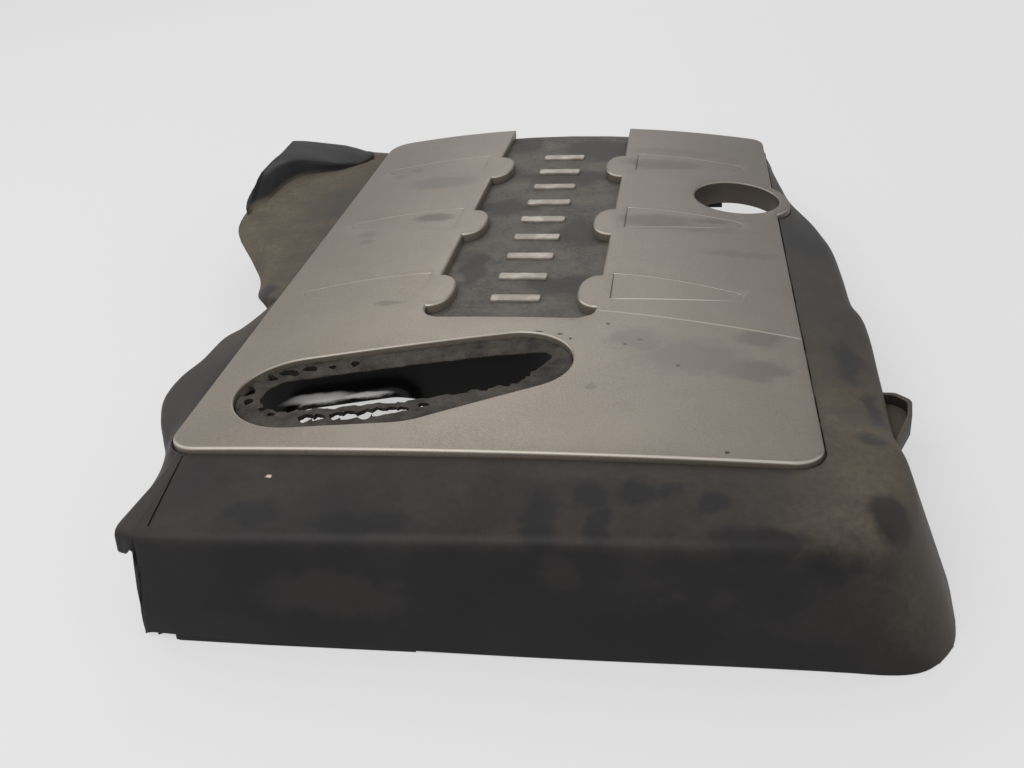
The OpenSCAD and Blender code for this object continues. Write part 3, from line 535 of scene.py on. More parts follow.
def silver_paint():
    """Satin silver lacquer over moulded plastic, greyer far off and at the sides, and dotted with oil."""
    material, shader = new_material("satin_silver_lacquer", Roughness=0.42, Metallic=0.3, IOR=1.5)
    place = node(material, "TexCoord").outputs["Object"]
    cloud = node(material, "TexNoise", place, 1 / (60 * MM), 6.0, 0.62)
    fleck = node(material, "TexNoise", place, 1 / (1.1 * MM), 3.0, 0.7)
    base = node(material, "Mix", node(material, "MapRange", cloud, 0.3, 0.72), "766c61", "857b6f")
    flecked = node(material, "Mix", node(material, "MapRange", fleck, 0.35, 0.7), base, "8f8579")
    # greyer towards the far end and both sides, most on the right
    split = node(material, "SeparateXYZ", place)
    sideways = node(material, "Math", node(material, "MapRange", split.outputs["X"], -0.05, 0.2, 0.0, 0.5),
                    node(material, "MapRange", split.outputs["X"], -0.02, -0.18, 0.0, 0.34),
                    operation="ADD")
    away = node(material, "Math", node(material, "MapRange", split.outputs["Y"], -0.24, 0.3, 0.0, 0.36),
                sideways, operation="ADD")
    greyed = node(material, "Mix", away, flecked, "4a443d")
    stain = patches(material, place, [
        (126, 120, 93, 44, 30, 60), (165, 108, 92, 30, 18, 60), (92, 140, 93, 24, 22, 60),
        (170, 150, 91, 22, 16, 60)], edge_mm=12, wobble_mm=10)
    oily = node(material, "Mix", node(material, "Math", stain, 0.68, operation="MULTIPLY"), greyed,
                "49423b")
    smudge = patches(material, place, [
        (157, 285, 90, 40, 8, 60), (-139, 321, 90, 9, 9, 60), (-136, 305, 90, 6, 6, 60),
        (-87, 190, 93, 14, 6, 60), (-145, 457, 90, 8, 8, 60), (-132, 470, 90, 7, 7, 60),
        (-100, 430, 90, 40, 20, 60), (100, 500, 90, 50, 12, 60), (120, 330, 90, 60, 12, 60),
        (150, 380, 88, 26, 16, 60), (67, 78, 93, 5, 5, 60)], edge_mm=9, wobble_mm=7)
    smudged = node(material, "Mix", node(material, "Math", smudge, 0.5, operation="MULTIPLY"), oily,
                   "4c463f")
    recess = patches(material, place, [
        (92, 343, 90, 40, 15, 60), (134, 346, 90, 22, 7, 60), (90, 470, 90, 44, 16, 60),
        (-90, 350, 90, 22, 10, 60)], edge_mm=6, wobble_mm=3)
    soiled = node(material, "Mix", node(material, "Math", recess, 0.72, operation="MULTIPLY"), smudged,
                  "473c30")
    dots = patches(material, place, [
        (70.6, 160.4, 93, 2, 1.8, 20), (84, 133, 93, 1.8, 2.2, 20), (93.2, 140, 93, 1.8, 1.8, 20),
        (119, 108, 92, 2, 2, 20), (150, 11.4, 92, 2, 2, 20), (40.5, 144, 93, 3, 1.6, 20),
        (26, 147, 93, 4, 1.4, 20), (48, 138, 93, 1.6, 2.4, 20)], edge_mm=3, wobble_mm=1)
    spotted = node(material, "Mix", dots, soiled, "211d1a")
    # rolled edges that face the near or far side get a painted highlight, weaker round the oil filler boss
    normal = node(material, "SeparateXYZ", node(material, "NewGeometry").outputs["Normal"])
    turned = normal.outputs["Z"]
    crosswise = node(material, "Math", normal.outputs["Y"], operation="ABSOLUTE")
    bosses = patches(material, place, [(154.5, 403, 86, 47, 47, 40)], edge_mm=3, wobble_mm=0.5)
    rolled = row_of(material, "Math", node(material, "MapRange", turned, 0.35, 0.6),
                    node(material, "MapRange", turned, 0.985, 0.93),
                    node(material, "MapRange", crosswise, 0.12, 0.42), operation="MULTIPLY")
    spot = part_place(material, place)
    # the crease's step is a bump; its bright line and the bands along two pockets' near edges are painted
    # highlights
    step, line = crease(material, spot)
    pocket_rim_highlights = node(material, "Math", ridge(material, spot, (68, 198.1), 0.0726, 88, 1.0),
                ridge(material, spot, (68, 324.1), 0.132, 84, 0.8), operation="MAXIMUM")
    wear_and_sheen = node(material, "Math", rolled, node(material, "MapRange", bosses, 0.0, 1.0, 0.8, 0.15),
                operation="MULTIPLY")
    bright = row_of(material, "Math", wear_and_sheen, node(material, "Math", line, 0.6, operation="MULTIPLY"),
                    node(material, "Math", pocket_rim_highlights, 0.75, operation="MULTIPLY"), operation="MAXIMUM")
    # the pale colour mixed in here is painted highlight on the edges, the crease and the pocket rims
    wiped_and_sheen = node(material, "Mix", bright, spotted, "b3aba0")
    # upright walls are darkened as painted shade, most round the oil filler, where the darkening also stands
    # for oil grime
    upright = node(material, "MapRange", turned, 0.4, 0.05)
    grime_and_shade = node(material, "Math", upright, node(material, "MapRange", bosses, 0.0, 1.0, 0.3, 0.95),
                 operation="MULTIPLY")
    grimy_and_shaded = node(material, "Mix", grime_and_shade, wiped_and_sheen, "241e1a")
    feed(material, shader, Base_Color=grimy_and_shaded)
    feed(material, shader, Roughness=node(material, "MapRange", stain, 0.0, 1.0, 0.42, 0.34))
    grain = node(material, "Math", node(material, "TexNoise", place, 1 / (2.2 * MM), 2.0, 0.55), 0.1,
                 operation="MULTIPLY")
    height = node(material, "Math", grain, step, operation="ADD")
    feed(material, shader, Normal=node(material, "Bump", 0.8, 0.5 * MM, None, height))
    return material


def strip_plastic():
    """The recessed strip: the same moulded plastic, under a thick felt of grey dust, wiped thin in places.
    """
    material, shader = new_material("dusty_strip_plastic", Roughness=0.75, IOR=1.53)
    place = node(material, "TexCoord").outputs["Object"]
    cloud = node(material, "TexNoise", place, 1 / (30 * MM), 6.0, 0.62)
    fine = node(material, "TexNoise", place, 1 / (3 * MM), 5.0, 0.7)
    base = node(material, "Mix", node(material, "MapRange", cloud, 0.36, 0.62), "2e2c29", "4d4843")
    dusty = node(material, "Mix", node(material, "MapRange", fine, 0.3, 0.75, 0.0, 0.8), base, "59544d")
    damp = patches(material, place, [
        (30, 230, 85, 40, 22, 30), (-42, 262, 85, 14, 40, 30), (34, 330, 85, 30, 40, 30),
        (-30, 380, 85, 34, 24, 30), (10, 450, 85, 60, 26, 30), (30, 520, 85, 50, 40, 30),
        (-40, 540, 85, 24, 30, 30)], edge_mm=18, wobble_mm=16)
    dark = node(material, "Math", damp, 0.8, operation="MULTIPLY")
    feed(material, shader, Base_Color=node(material, "Mix", dark, dusty, "262421"))
    feed(material, shader,
         Normal=node(material, "Bump", 0.3, 0.12 * MM, None,
                     node(material, "TexNoise", place, 1 / (1.4 * MM), 2.0, 0.55)))
    return material


def bar_paint():
    """Brighter satin silver lacquer on the raised bars, with wear at their corners."""
    material, shader = new_material("bright_silver_lacquer", Roughness=0.4, Metallic=0.4, IOR=1.5)
    place = node(material, "TexCoord").outputs["Object"]
    cloud = node(material, "TexNoise", place, 1 / (12 * MM), 5.0, 0.6)
    wear_and_sheen = node(material, "MapRange", cloud, 0.35, 0.7)
    feed(material, shader, Base_Color=node(material, "Mix", wear_and_sheen, "7d766d", "a39b90"))
    feed(material, shader,
         Normal=node(material, "Bump", 0.15, 0.08 * MM, None,
                     node(material, "TexNoise", place, 1 / (1.5 * MM), 2.0, 0.55)))
    return material


def gloss_plastic():
    """Glossy black moulded plastic of the air duct: a little dust, and a pale painted reflection along its
    lip.
    """
    material, shader = new_material("gloss_black_plastic", IOR=1.5, Specular_IOR_Level=0.2)
    place = node(material, "TexCoord").outputs["Object"]
    cloud = node(material, "TexNoise", place, 1 / (18 * MM), 5.0, 0.6)
    dust = node(material, "Math", node(material, "MapRange", cloud, 0.5, 0.75, 0.0, 0.2),
                upward(material, 0.3, 1.0), operation="MULTIPLY")
    dusty = node(material, "Mix", dust, "0c0b0c", "4a443c")
    # a pale streak on the lip, painted where a lamp's reflection falls: a painted reflection
    wear_and_sheen = patches(material, place, [
        (-117, 103, 63.6, 34, 16, 4), (-84, 110, 62.6, 30, 10, 2)], edge_mm=9, wobble_mm=1)
    wiped_and_sheen = node(material, "Mix", node(material, "Math", wear_and_sheen, 0.62, operation="MULTIPLY"), dusty,
                  "e6e4e2")
    feed(material, shader, Base_Color=wiped_and_sheen)
    feed(material, shader, Roughness=node(material, "MapRange", dust, 0.0, 0.2, 0.22, 0.6))
    return material


def foam(name, dark, pale, cell_mm):
    """Open-cell polyurethane foam, matt, pitted and grey with dust where it faces up."""
    material, shader = new_material(name, Roughness=0.95, IOR=1.45)
    place = node(material, "TexCoord").outputs["Object"]
    cells = node(material, "TexVoronoi", place, 1 / (cell_mm * MM))
    cloud = node(material, "TexNoise", place, 1 / (14 * MM), 6.0, 0.65)
    dusty = node(material, "Math", node(material, "MapRange", cloud, 0.25, 0.7),
                 upward(material, -0.1, 0.7), operation="MULTIPLY")
    pitted = node(material, "Math", dusty, node(material, "MapRange", cells, 0.0, 0.6, 1.0, 0.6),
                  operation="MULTIPLY")
    feed(material, shader, Base_Color=node(material, "Mix", pitted, dark, pale))
    feed(material, shader, Normal=node(material, "Bump", 0.7, 0.6 * MM, None, cells))
    return material


def rubber():
    """Matt black EPDM rubber, with a bloom of dust."""
    material, shader = new_material("matt_black_rubber", Roughness=0.8, IOR=1.52)
    place = node(material, "TexCoord").outputs["Object"]
    cloud = node(material, "TexNoise", place, 1 / (6 * MM), 5.0, 0.6)
    bloom = node(material, "MapRange", cloud, 0.4, 0.8)
    feed(material, shader, Base_Color=node(material, "Mix", bloom, "1e1d1d", "3a3733"))
    feed(material, shader,
         Normal=node(material, "Bump", 0.2, 0.05 * MM, None,
                     node(material, "TexNoise", place, 1 / (0.8 * MM), 2.0, 0.55)))
    return material


def spring_steel():
    """Blued spring steel, rolled, with a tint of rust."""
    material, shader = new_material("blued_spring_steel", Roughness=0.38, Metallic=1.0)
    place = node(material, "TexCoord").outputs["Object"]
    cloud = node(material, "TexNoise", place, 1 / (3 * MM), 5.0, 0.6)
    rust = node(material, "MapRange", cloud, 0.5, 0.8)
    feed(material, shader, Base_Color=node(material, "Mix", rust, "8c8983", "5f4634"))
    feed(material, shader, Roughness=node(material, "MapRange", cloud, 0.4, 0.8, 0.3, 0.6))
    return material


def looked_at(owner):
    """Whether a ray comes from the camera, off something glossy or through something clear."""
    paths = node(owner, "LightPath")
    kinds = [paths.outputs[kind] for kind in ("Is Camera Ray", "Is Glossy Ray", "Is Transmission Ray")]
    return row_of(owner, "Math", *kinds, operation="MAXIMUM")


def pale_floor(colour):
    """A plain pale sheet: what looks at it sees mostly its plain colour, with a soft trace of the shadow."""
    material, shader = new_material("pale_floor", Roughness=0.9)
    shader.inputs["Base Color"].default_value = colour
    plain = node(material, "Emission", colour, 1.0)
    share = node(material, "Math", looked_at(material), FLOOR_SHOWN, operation="MULTIPLY")
    joined = node(material, "MixShader", share, shader.outputs[0], plain)
    link(material, joined, material.node_tree.nodes["Material Output"].inputs[0])
    return material


# The base's rim: stations round the panel, each (x, y, shoulder height, drop at the panel's edge,
# foot height, lean, rounding)
FLANGE_Z, DECK_Z = COVER_H - 28, COVER_H - 28
BRIM_Z, FAR_DROP, SKIRT = DECK_Z - 9, 11.8, 42


def on_right(y, out, *rest):
    """A station beside the panel's right edge."""
    return (right_edge(y) + out, y, *rest)


def on_left(y, out, *rest):
    """A station beside the panel's left edge."""
    return (-PANEL_LEFT - out, y, *rest)


def on_far(x, out, *rest):
    """A station beyond the panel's far edge."""
    return (x, PANEL_LEN + out, *rest)


def rim():
    """The stations, from the near wall's left end round by the right."""
    near = [(-188, -54, 72.5, 3.5, 59, 1, 4), (-182, -59, 73, 3.5, 59, 1, 5),
            (-175.5, -61, 73.5, 3.5, 59, 1, 6), (-174, -61, 73.5, 3.5, 7, 1, 6),
            (-166, -62, 73.5, 3.5, 5, 2, 8), (-110, -62, 75, 3.5, 3, 2, 10), (0, -60, 78, 3.5, 0.5, 2, 10),
            (75, -59, 80, 3.5, 0, 2, 10), (150, -57.5, 81, 3.5, 0, 2, 12), (196, -55, 82, 3.5, 0, 4, 16)]
    right = [(227, -45, 81, 3.5, 0, 14, 20), (241, -27, 80, 3.5, 0, 23.8, 20),
             (248, -1, 79, 3.5, 0, 28, 16), (248, 34, 79, 3.5, 0, 28, 12),
             on_right(54, 46, 75, 3.5, 4, 19.6, 10), on_right(72, 46, 69, 3.5, 26, 9, 8),
             on_right(90, 47, 66, 3.5, SKIRT - 4, 4, 7), on_right(120, 48, 66, 3.5, SKIRT, 3, 7)]
    right += [on_right(y, out, FLANGE_Z, 3.5, SKIRT, 3, r) for y, out, r in (
        (159, 49, 8), (199, 50, 8), (228, 49, 8), (252, 44, 8), (299, 43, 8), (344, 41, 8), (373, 36, 8),
        (396, 30, 6))]
    right += [on_right(437, 17, FLANGE_Z, 4.5, SKIRT, 2, 4), on_right(477, 11, FLANGE_Z, 5.5, SKIRT, 2, 3),
              on_right(510, 7, FLANGE_Z, 6.5, SKIRT, 2, 2)]
    far = [on_right(537, 5, FLANGE_Z, FAR_DROP, SKIRT, 2, 2),
           on_far(176, 4, FLANGE_Z, FAR_DROP, SKIRT, 2, 2), on_far(154, 8, 68, FAR_DROP, SKIRT, 2, 3),
           on_far(60, 10, 78.7, FAR_DROP, SKIRT, 2, 4), on_far(-60, 10, 78.7, FAR_DROP, SKIRT, 2, 4),
           on_far(-150, 10, 68, FAR_DROP, SKIRT, 2, 4), on_far(-176, 14, DECK_Z, FAR_DROP, BRIM_Z, 4, 3),
           on_far(-204, 19, DECK_Z, FAR_DROP, BRIM_Z, 8, 3),
           on_far(-236, 29, DECK_Z, FAR_DROP, BRIM_Z, 12, 3),
           on_far(-262, 25, DECK_Z, FAR_DROP, BRIM_Z, 12, 3),
           on_far(-277, 2, DECK_Z, FAR_DROP, BRIM_Z, 12, 3)]
    left = [on_left(y, out, DECK_Z, FAR_DROP, BRIM_Z, lean, 3) for y, out, lean in (
        (521, 104, 12), (466, 104, 12), (422, 101, 12), (377, 88, 12), (341, 70, 12), (295, 45, 11),
        (270, 35, 9))]
    left += [on_left(252, 24, 67, FAR_DROP, BRIM_Z, 6, 3), on_left(239, 12, 70, FAR_DROP, SKIRT, 3, 3),
             on_left(226, 9, 76, 6.5, SKIRT, 2, 3), on_left(197, 13, 78, 4.5, SKIRT, 2, 4)]
    left += [on_left(y, out, 78, 3.5, SKIRT, 2, r) for y, out, r in (
        (176, 19, 4), (160, 27, 4), (130, 31, 5), (106, 37, 5), (80, 37, 5), (56, 29, 5))]
    left += [on_left(36, 19, 77, 3.5, SKIRT, 2, 5), on_left(18, 10, 76, 3.5, SKIRT + 8, 2, 5),
             on_left(-3, 5, 75, 3.5, 59, 2, 4), on_left(-30, 5, 74, 3.5, 59, 2, 4)]
    return near + right + far + left


def curve_through(stations, steps):
    """A smooth closed curve through the stations."""
    count, curve = len(stations), []
    for i in range(count):
        a, b, c, d = (stations[(i + k) % count] for k in (-1, 0, 1, 2))
        for k in range(steps):
            t = k / steps
            curve.append([q + (r - p) * t / 2 + (2 * p - 5 * q + 4 * r - s) * t * t / 2
                          + (3 * q - p - 3 * r + s) * t ** 3 / 2 for p, q, r, s in zip(a, b, c, d)])
    return curve


def drawn_in(x, y):
    """How far the left deck's edge swings inwards, between its bulge and the panel's left side."""
    return 8 * eased((412 - y) / 70) * eased((y - 250) / 60) * clip((-x - 200) / 28, 0, 1)


def pushed_out(x, y, z):
    """A place near the foot of the near right corner, moved outwards so that the corner is fuller."""
    out = 4.6 * eased((x - 215) / 40) * eased((8 - y) / 40) * eased((64 - z) / 56)
    return x + out, y - out, z


def rim_section(station):
    """The section at a station, from inside the gap round the panel to the foot: places on the cover."""
    x, y, shoulder, drop, foot, lean, rounding = station
    r = PANEL_CORNER
    beside = clip(x, -PANEL_LEFT + r, PANEL_RIGHT_NEAR - r)
    near = PANEL_SKEW * (beside + PANEL_LEFT) / (PANEL_LEFT + PANEL_RIGHT_NEAR)
    core = Vector((clip(x, -PANEL_LEFT + r, right_edge(clip(y, near + r, PANEL_LEN - r)) - r),
                   clip(y, near + r, PANEL_LEN - r)))
    way = (Vector((x, y)) - core).normalized()
    start = core + way * (r + PANEL_GAP)
    reach = (Vector((x, y)) - core).length - r - PANEL_GAP
    top = Vector((0, face_z(start.x, start.y) - drop))
    corner, low = Vector((reach, shoulder)), Vector((reach + lean, max(0, foot)))
    bend = min(rounding, (top - corner).length * 0.45, (low - corner).length * 0.45)
    before, after = corner + (top - corner).normalized() * bend, corner + (low - corner).normalized() * bend
    points = [top + Vector(shift) for shift in ((0.4, -9.2), (0.3, -3), (-0.1, -1.8), (0, -1), (0.3, -0.3))]
    first = top.lerp(before, min(1.1 / max((before - top).length, 0.01), 0.4))
    points += [first] + [first.lerp(before, t) for t in (0.33, 0.66)]
    points += [before * (1 - u) ** 2 + corner * 2 * u * (1 - u) + after * u * u
               for u in (k / 7 for k in range(8))]
    above = low + (after - low).normalized() * 1.0
    points += [after.lerp(above, t) for t in (0.33, 0.66, 1.0)]
    points += [low + Vector((-0.25, 0.2)), low + Vector((-0.9, 0))]
    ends = clip((-150 - x) / 24, 0, 1) * clip((-40 - y) / 15, 0, 1)
    section = []
    for out, height in points:
        x, y = start.x + way.x * out, start.y + way.y * out
        leaning = ends * clip((66 - height) / 60, 0, 1) * 8 * clip((62 - foot) / 40, 0, 1)
        section.append(pushed_out(x - leaning + drawn_in(x, y), y, height))
    return section


def base_shell():
    """The base's smooth outer side: a closed curve pulled outwards from the panel's edge to the foot."""
    sections = [rim_section(station) for station in curve_through(rim(), 8)]
    skin = pulled("base_shell", list(zip(*sections)))
    if sum(polygon.normal.z for polygon in skin.data.polygons) < 0:
        open_mesh(skin)
        bpy.ops.mesh.select_all(action="SELECT")
        bpy.ops.mesh.flip_normals()
        bpy.ops.object.mode_set(mode="OBJECT")
    return skin


LOBE = [(-4, -137), (2, -111), (4, -71), (3, -31), (-1, 1), (-16, 25), (-47, 30), (-75, 17), (-88, 1),
        (-85, -11), (-66, -32), (-48, -40), (-31, -49), (-20, -75), (-17, -111), (-11, -131)]


def deck_lobe():
    """The raised lobe at the rear of the left deck: a leaning inner wall, and a top that falls outwards."""
    outline = [point[:2] for point in curve_through([(-288 - x, PANEL_LEN + y, 0) for x, y in LOBE], 5)]
    lobe = plate("deck_lobe", outline, DECK_Z + 20, DECK_Z - 3)
    round_edges(lobe, 3, 4, lambda middle: middle.z > DECK_Z + 0.5)
    open_mesh(lobe)
    for x in (-290.5, -289, -287.5, -286, -284.5, -283, -281, -278, -274, -268, -260, -250, -240, -230, -220,
              -210):
        cut_across((x, 0, 0), (1, 0, 0))
    for y in range(430, 590, 10):
        cut_across((0, y, 0), (0, 1, 0))
    close_mesh()
    for vertex in lobe.data.vertices:
        x, y, z = place_of(vertex.co)
        part = (z - DECK_Z + 3) / 23
        # the crest slopes down inwards, drops at both ends, and stays under the outer slope
        top = DECK_Z + 21 - (x + 282) * 0.276 * (1 - 0.55 * clip((y - 515) / 50, 0, 1))
        top -= 16 * eased((470 - y) / 42) + 0.35 * max(0, y - 562) + 7 * max(0, (y - 560) / 30) ** 2
        top -= 3 * eased((-264 - x) / 30) ** 2 + 4 * eased((x + 240) / 34) ** 2
        over = top - 65 - (x + 291.5) * 2.3
        top -= over if over > 4 else max(0, over + 4) ** 2 / 16
        low = DECK_Z - 3 - 6.5 * clip((-281 - x) / 11, 0, 1)
        lean = 8 * part * clip((x + 284) / 10, 0, 1) * clip((525 - y) / 20, 0, 1)
        vertex.co = at(x - lean, y + lean, mix(low, max(low + 1, top), part))
    return lobe


def foot_lip():
    """The second layer that stands out below the near wall's foot, towards its left end."""
    outline = [(-164.5, -63.3), (-110, -63.3), (-60, -62.6), (-20, -62), (-20, -59), (-60, -59.4),
               (-110, -60), (-164.5, -60)]
    lip = plate("foot_lip", outline, 9, 0.1)
    for vertex in lip.data.vertices:
        x, y, z = place_of(vertex.co)
        if x < -164 and z < 1:
            vertex.co = at(x + 3.5, y, z)
    return lip


def ear_outline(t):
    """The cup ear's outline, or its inner side at a wall's thickness."""
    reach, half, x0, y0 = 19 - t, 30 - t, right_edge(105) + 46, 105
    corners = [(-4 + 2 * t, -half, 0), (4, -half, 3), (reach - 2, half * 0.1, 6), (reach, half * 0.7, 8),
               (reach * 0.5, half, 6), (-4 + 2 * t, half, 0)]
    return rounded([(x0 + x, y0 + y, r) for x, y, r in corners], 8)


def cup_ear():
    """The open cup that stands out from the right flange."""
    rim_z = FLANGE_Z - 7
    ear = plate("cup_ear", ear_outline(0), rim_z, rim_z - 14)
    combine(ear, plate("cup", ear_outline(3), rim_z + 5, rim_z - 7), "DIFFERENCE")
    round_edges(ear, 0.8, 3, lambda middle: True, clamp=True)
    return ear


def groove_blade():
    """The solid that cuts the mould line which parts the near end's shelf from its left end."""
    bpy.ops.object.select_all(action="DESELECT")
    bpy.ops.mesh.primitive_cube_add(size=1)
    blade = bpy.context.object
    bpy.ops.object.mode_set(mode="EDIT")
    bpy.ops.transform.resize(value=(1.3 * MM, 55 * MM, 14 * MM))
    bpy.ops.object.mode_set(mode="OBJECT")
    turn = Matrix.Rotation(math.radians(-2), 4, "Z") @ Matrix.Rotation(math.radians(13.5), 4, "X")
    blade.matrix_world = Matrix.Translation(at(-166, -29, 87.6)) @ turn
    return blade


def tuck_under(piece, skin, near_mm, depth_mm):
    """Moves the faces that lie on a smooth skin a little way under it, so that only the skin shows."""
    tree = BVHTree.FromObject(skin, bpy.context.evaluated_depsgraph_get())
    mesh = open_mesh(piece)
    bpy.ops.mesh.select_mode(type="FACE")
    for face in mesh.faces:
        hits = [tree.find_nearest(vertex.co, near_mm * MM) for vertex in face.verts]
        face.select_set(all(spot is not None and normal.dot(face.normal) > 0.2
                            for spot, normal, _, _ in hits))
    bmesh.update_edit_mesh(piece.data)
    bpy.ops.mesh.subdivide(number_cuts=1)
    mesh = bmesh.from_edit_mesh(piece.data)
    for vertex in [vertex for vertex in mesh.verts if vertex.select]:
        spot, normal, _, _ = tree.find_nearest(vertex.co)
        vertex.co = spot - normal * depth_mm * MM
    bmesh.update_edit_mesh(piece.data)
    close_mesh(outwards=False)


def slot_place(k, grow, depth):
    """A place on a line round the slot, grown outwards, at a depth below the panel's face."""
    point, way = SLOT_LINE[k]
    x, y = point + way * grow
    return (x, y, face_z(x, y) - depth)


class CoverSizes(bpy.types.PropertyGroup):
    """Sizes that shape the cover's edges"""

    panel_edge: FloatProperty(
        name="Panel Edge", description="Rounding of the panel's outer edge, in millimetres",
        default=2.2, min=1.0, max=3.0)
    slot_edge: FloatProperty(
        name="Slot Edge", description="Rounding of the lip round the scoop slot, in millimetres",
        default=1.6, min=1.0, max=3.0)
    filler_edge: FloatProperty(
        name="Filler Edge", description="Rounding of the oil filler hole, in millimetres",
        default=1.5, min=0.5, max=2.4)
    tab_edge: FloatProperty(
        name="Tab Edge", description="Rounding of the strip's opening, in millimetres",
        default=2.6, min=0.4, max=3.0)
    skin: FloatProperty(
        name="Skin", description="Thickness of the base's smooth outer skin, in millimetres",
        default=1.1, min=0.8, max=1.3)
    bars: IntProperty(
        name="Bars", description="Number of plain raised bars on the strip",
        default=9, min=4, max=10)


class CoverColours(bpy.types.PropertyGroup):
    """Colours of the stage"""

    ground: FloatVectorProperty(
        name="Ground", description="Colour of the floor and backdrop", subtype="COLOR", size=4,
        default=linear("e0e0e0"), min=0, max=1)


class COVER_OT_stage(bpy.types.Operator):
    """Adds the camera, the lights, the floor and the world"""

    bl_idname = "cover.stage"
    bl_label = "Stage"

    def execute(self, context):
        pitch, yaw, roll = (math.radians(angle) for angle in CAMERA_TURN)
        ahead = Vector((-math.sin(yaw) * math.cos(pitch), math.cos(yaw) * math.cos(pitch), -math.sin(pitch)))
        level = Vector((math.cos(yaw), math.sin(yaw), 0))
        below = ahead.cross(level)
        right = level * math.cos(roll) + below * math.sin(roll)
        down = below * math.cos(roll) - level * math.sin(roll)
        bpy.ops.object.camera_add()
        camera = context.object
        camera.name = "camera"
        turn = Matrix((right, -down, -ahead)).transposed().to_4x4()
        camera.matrix_world = Matrix.Translation(at(*CAMERA_PLACE)) @ turn
        camera.data.sensor_width = SENSOR
        camera.data.lens = FOCAL_LENGTH
        camera.data.clip_start, camera.data.clip_end = 0.01, 60
        context.scene.camera = camera

        ground = context.scene.cover_colours.ground
        bpy.ops.mesh.primitive_plane_add(size=16, location=(0, 0, -0.0006))
        floor = context.object
        floor.name = "floor"
        floor.data.materials.append(pale_floor(ground))
        bpy.ops.object.transform_apply(location=True, rotation=False, scale=False)

        for name, place, size, power in LAMPS:
            bpy.ops.object.light_add(type="AREA", location=place)
            lamp = context.object
            lamp.name = name
            lamp.data.size = size
            lamp.data.energy = power
            lamp.rotation_euler = (Vector(place) * -1).to_track_quat("-Z", "Y").to_euler()

        world = bpy.data.worlds.new("studio")
        context.scene.world = world
        world.use_nodes = True
        light = world.node_tree.nodes["Background"]
        light.inputs["Color"].default_value = (1, 1, 1, 1)
        light.inputs["Strength"].default_value = WORLD_LIGHT
        shown = node(world, "Background", ground)
        joined = node(world, "MixShader", looked_at(world), light, shown)
        link(world, joined, world.node_tree.nodes["World Output"].inputs[0])
        context.scene.view_settings.view_transform = "Standard"
        return {"FINISHED"}


class COVER_OT_base(bpy.types.Operator):
    """Models the moulded base: its smooth skin, the lobe, the cup ear and the ribbed underside"""

    bl_idname = "cover.base"
    bl_label = "Base"

    def execute(self, context):
        material = dusty_plastic()
        skin = base_shell()
        lobe = deck_lobe()
        ear = cup_ear()
        lip = foot_lip()
        under = copy_of("base_cover", "base_underside")
        for vertex in under.data.vertices:
            x, y, z = place_of(vertex.co)
            vertex.co = at(*pushed_out(x + drawn_in(x, y), y, z))
        combine(under, plate("neck_room", circle(FILLER, BOSS_R + 12, 96), 74, 10), "DIFFERENCE")
        combine(under, plate("slot_room", slot_outline(1.2), 92, 40), "DIFFERENCE")
        room = [(-330, 412), (-188, 412), (-188, 620), (-330, 620)]
        combine(under, plate("lobe_room", room, 130, DECK_Z - 1.9), "DIFFERENCE")
        for outer, near_mm, depth_mm in ((skin, 1.4, 1.8), (lobe, 3.4, 1.4), (ear, 1.3, 1.2)):
            tuck_under(under, outer, near_mm, depth_mm)
        modify(skin, "SOLIDIFY", thickness=context.scene.cover_sizes.skin * MM, offset=-1, use_rim=True)
        combine(skin, plate("boss_room", circle(FILLER, BOSS_R + PANEL_GAP, 96), 120, 20), "DIFFERENCE")
        combine(skin, groove_blade(), "DIFFERENCE")
        for piece, angle in ((skin, 40), (lobe, 40), (ear, 35), (under, 28)):
            shade(piece, angle)
        for piece in (skin, lobe, ear, lip, under):
            keep(piece, material, "black_plastic", "base_cover")
        return {"FINISHED"}


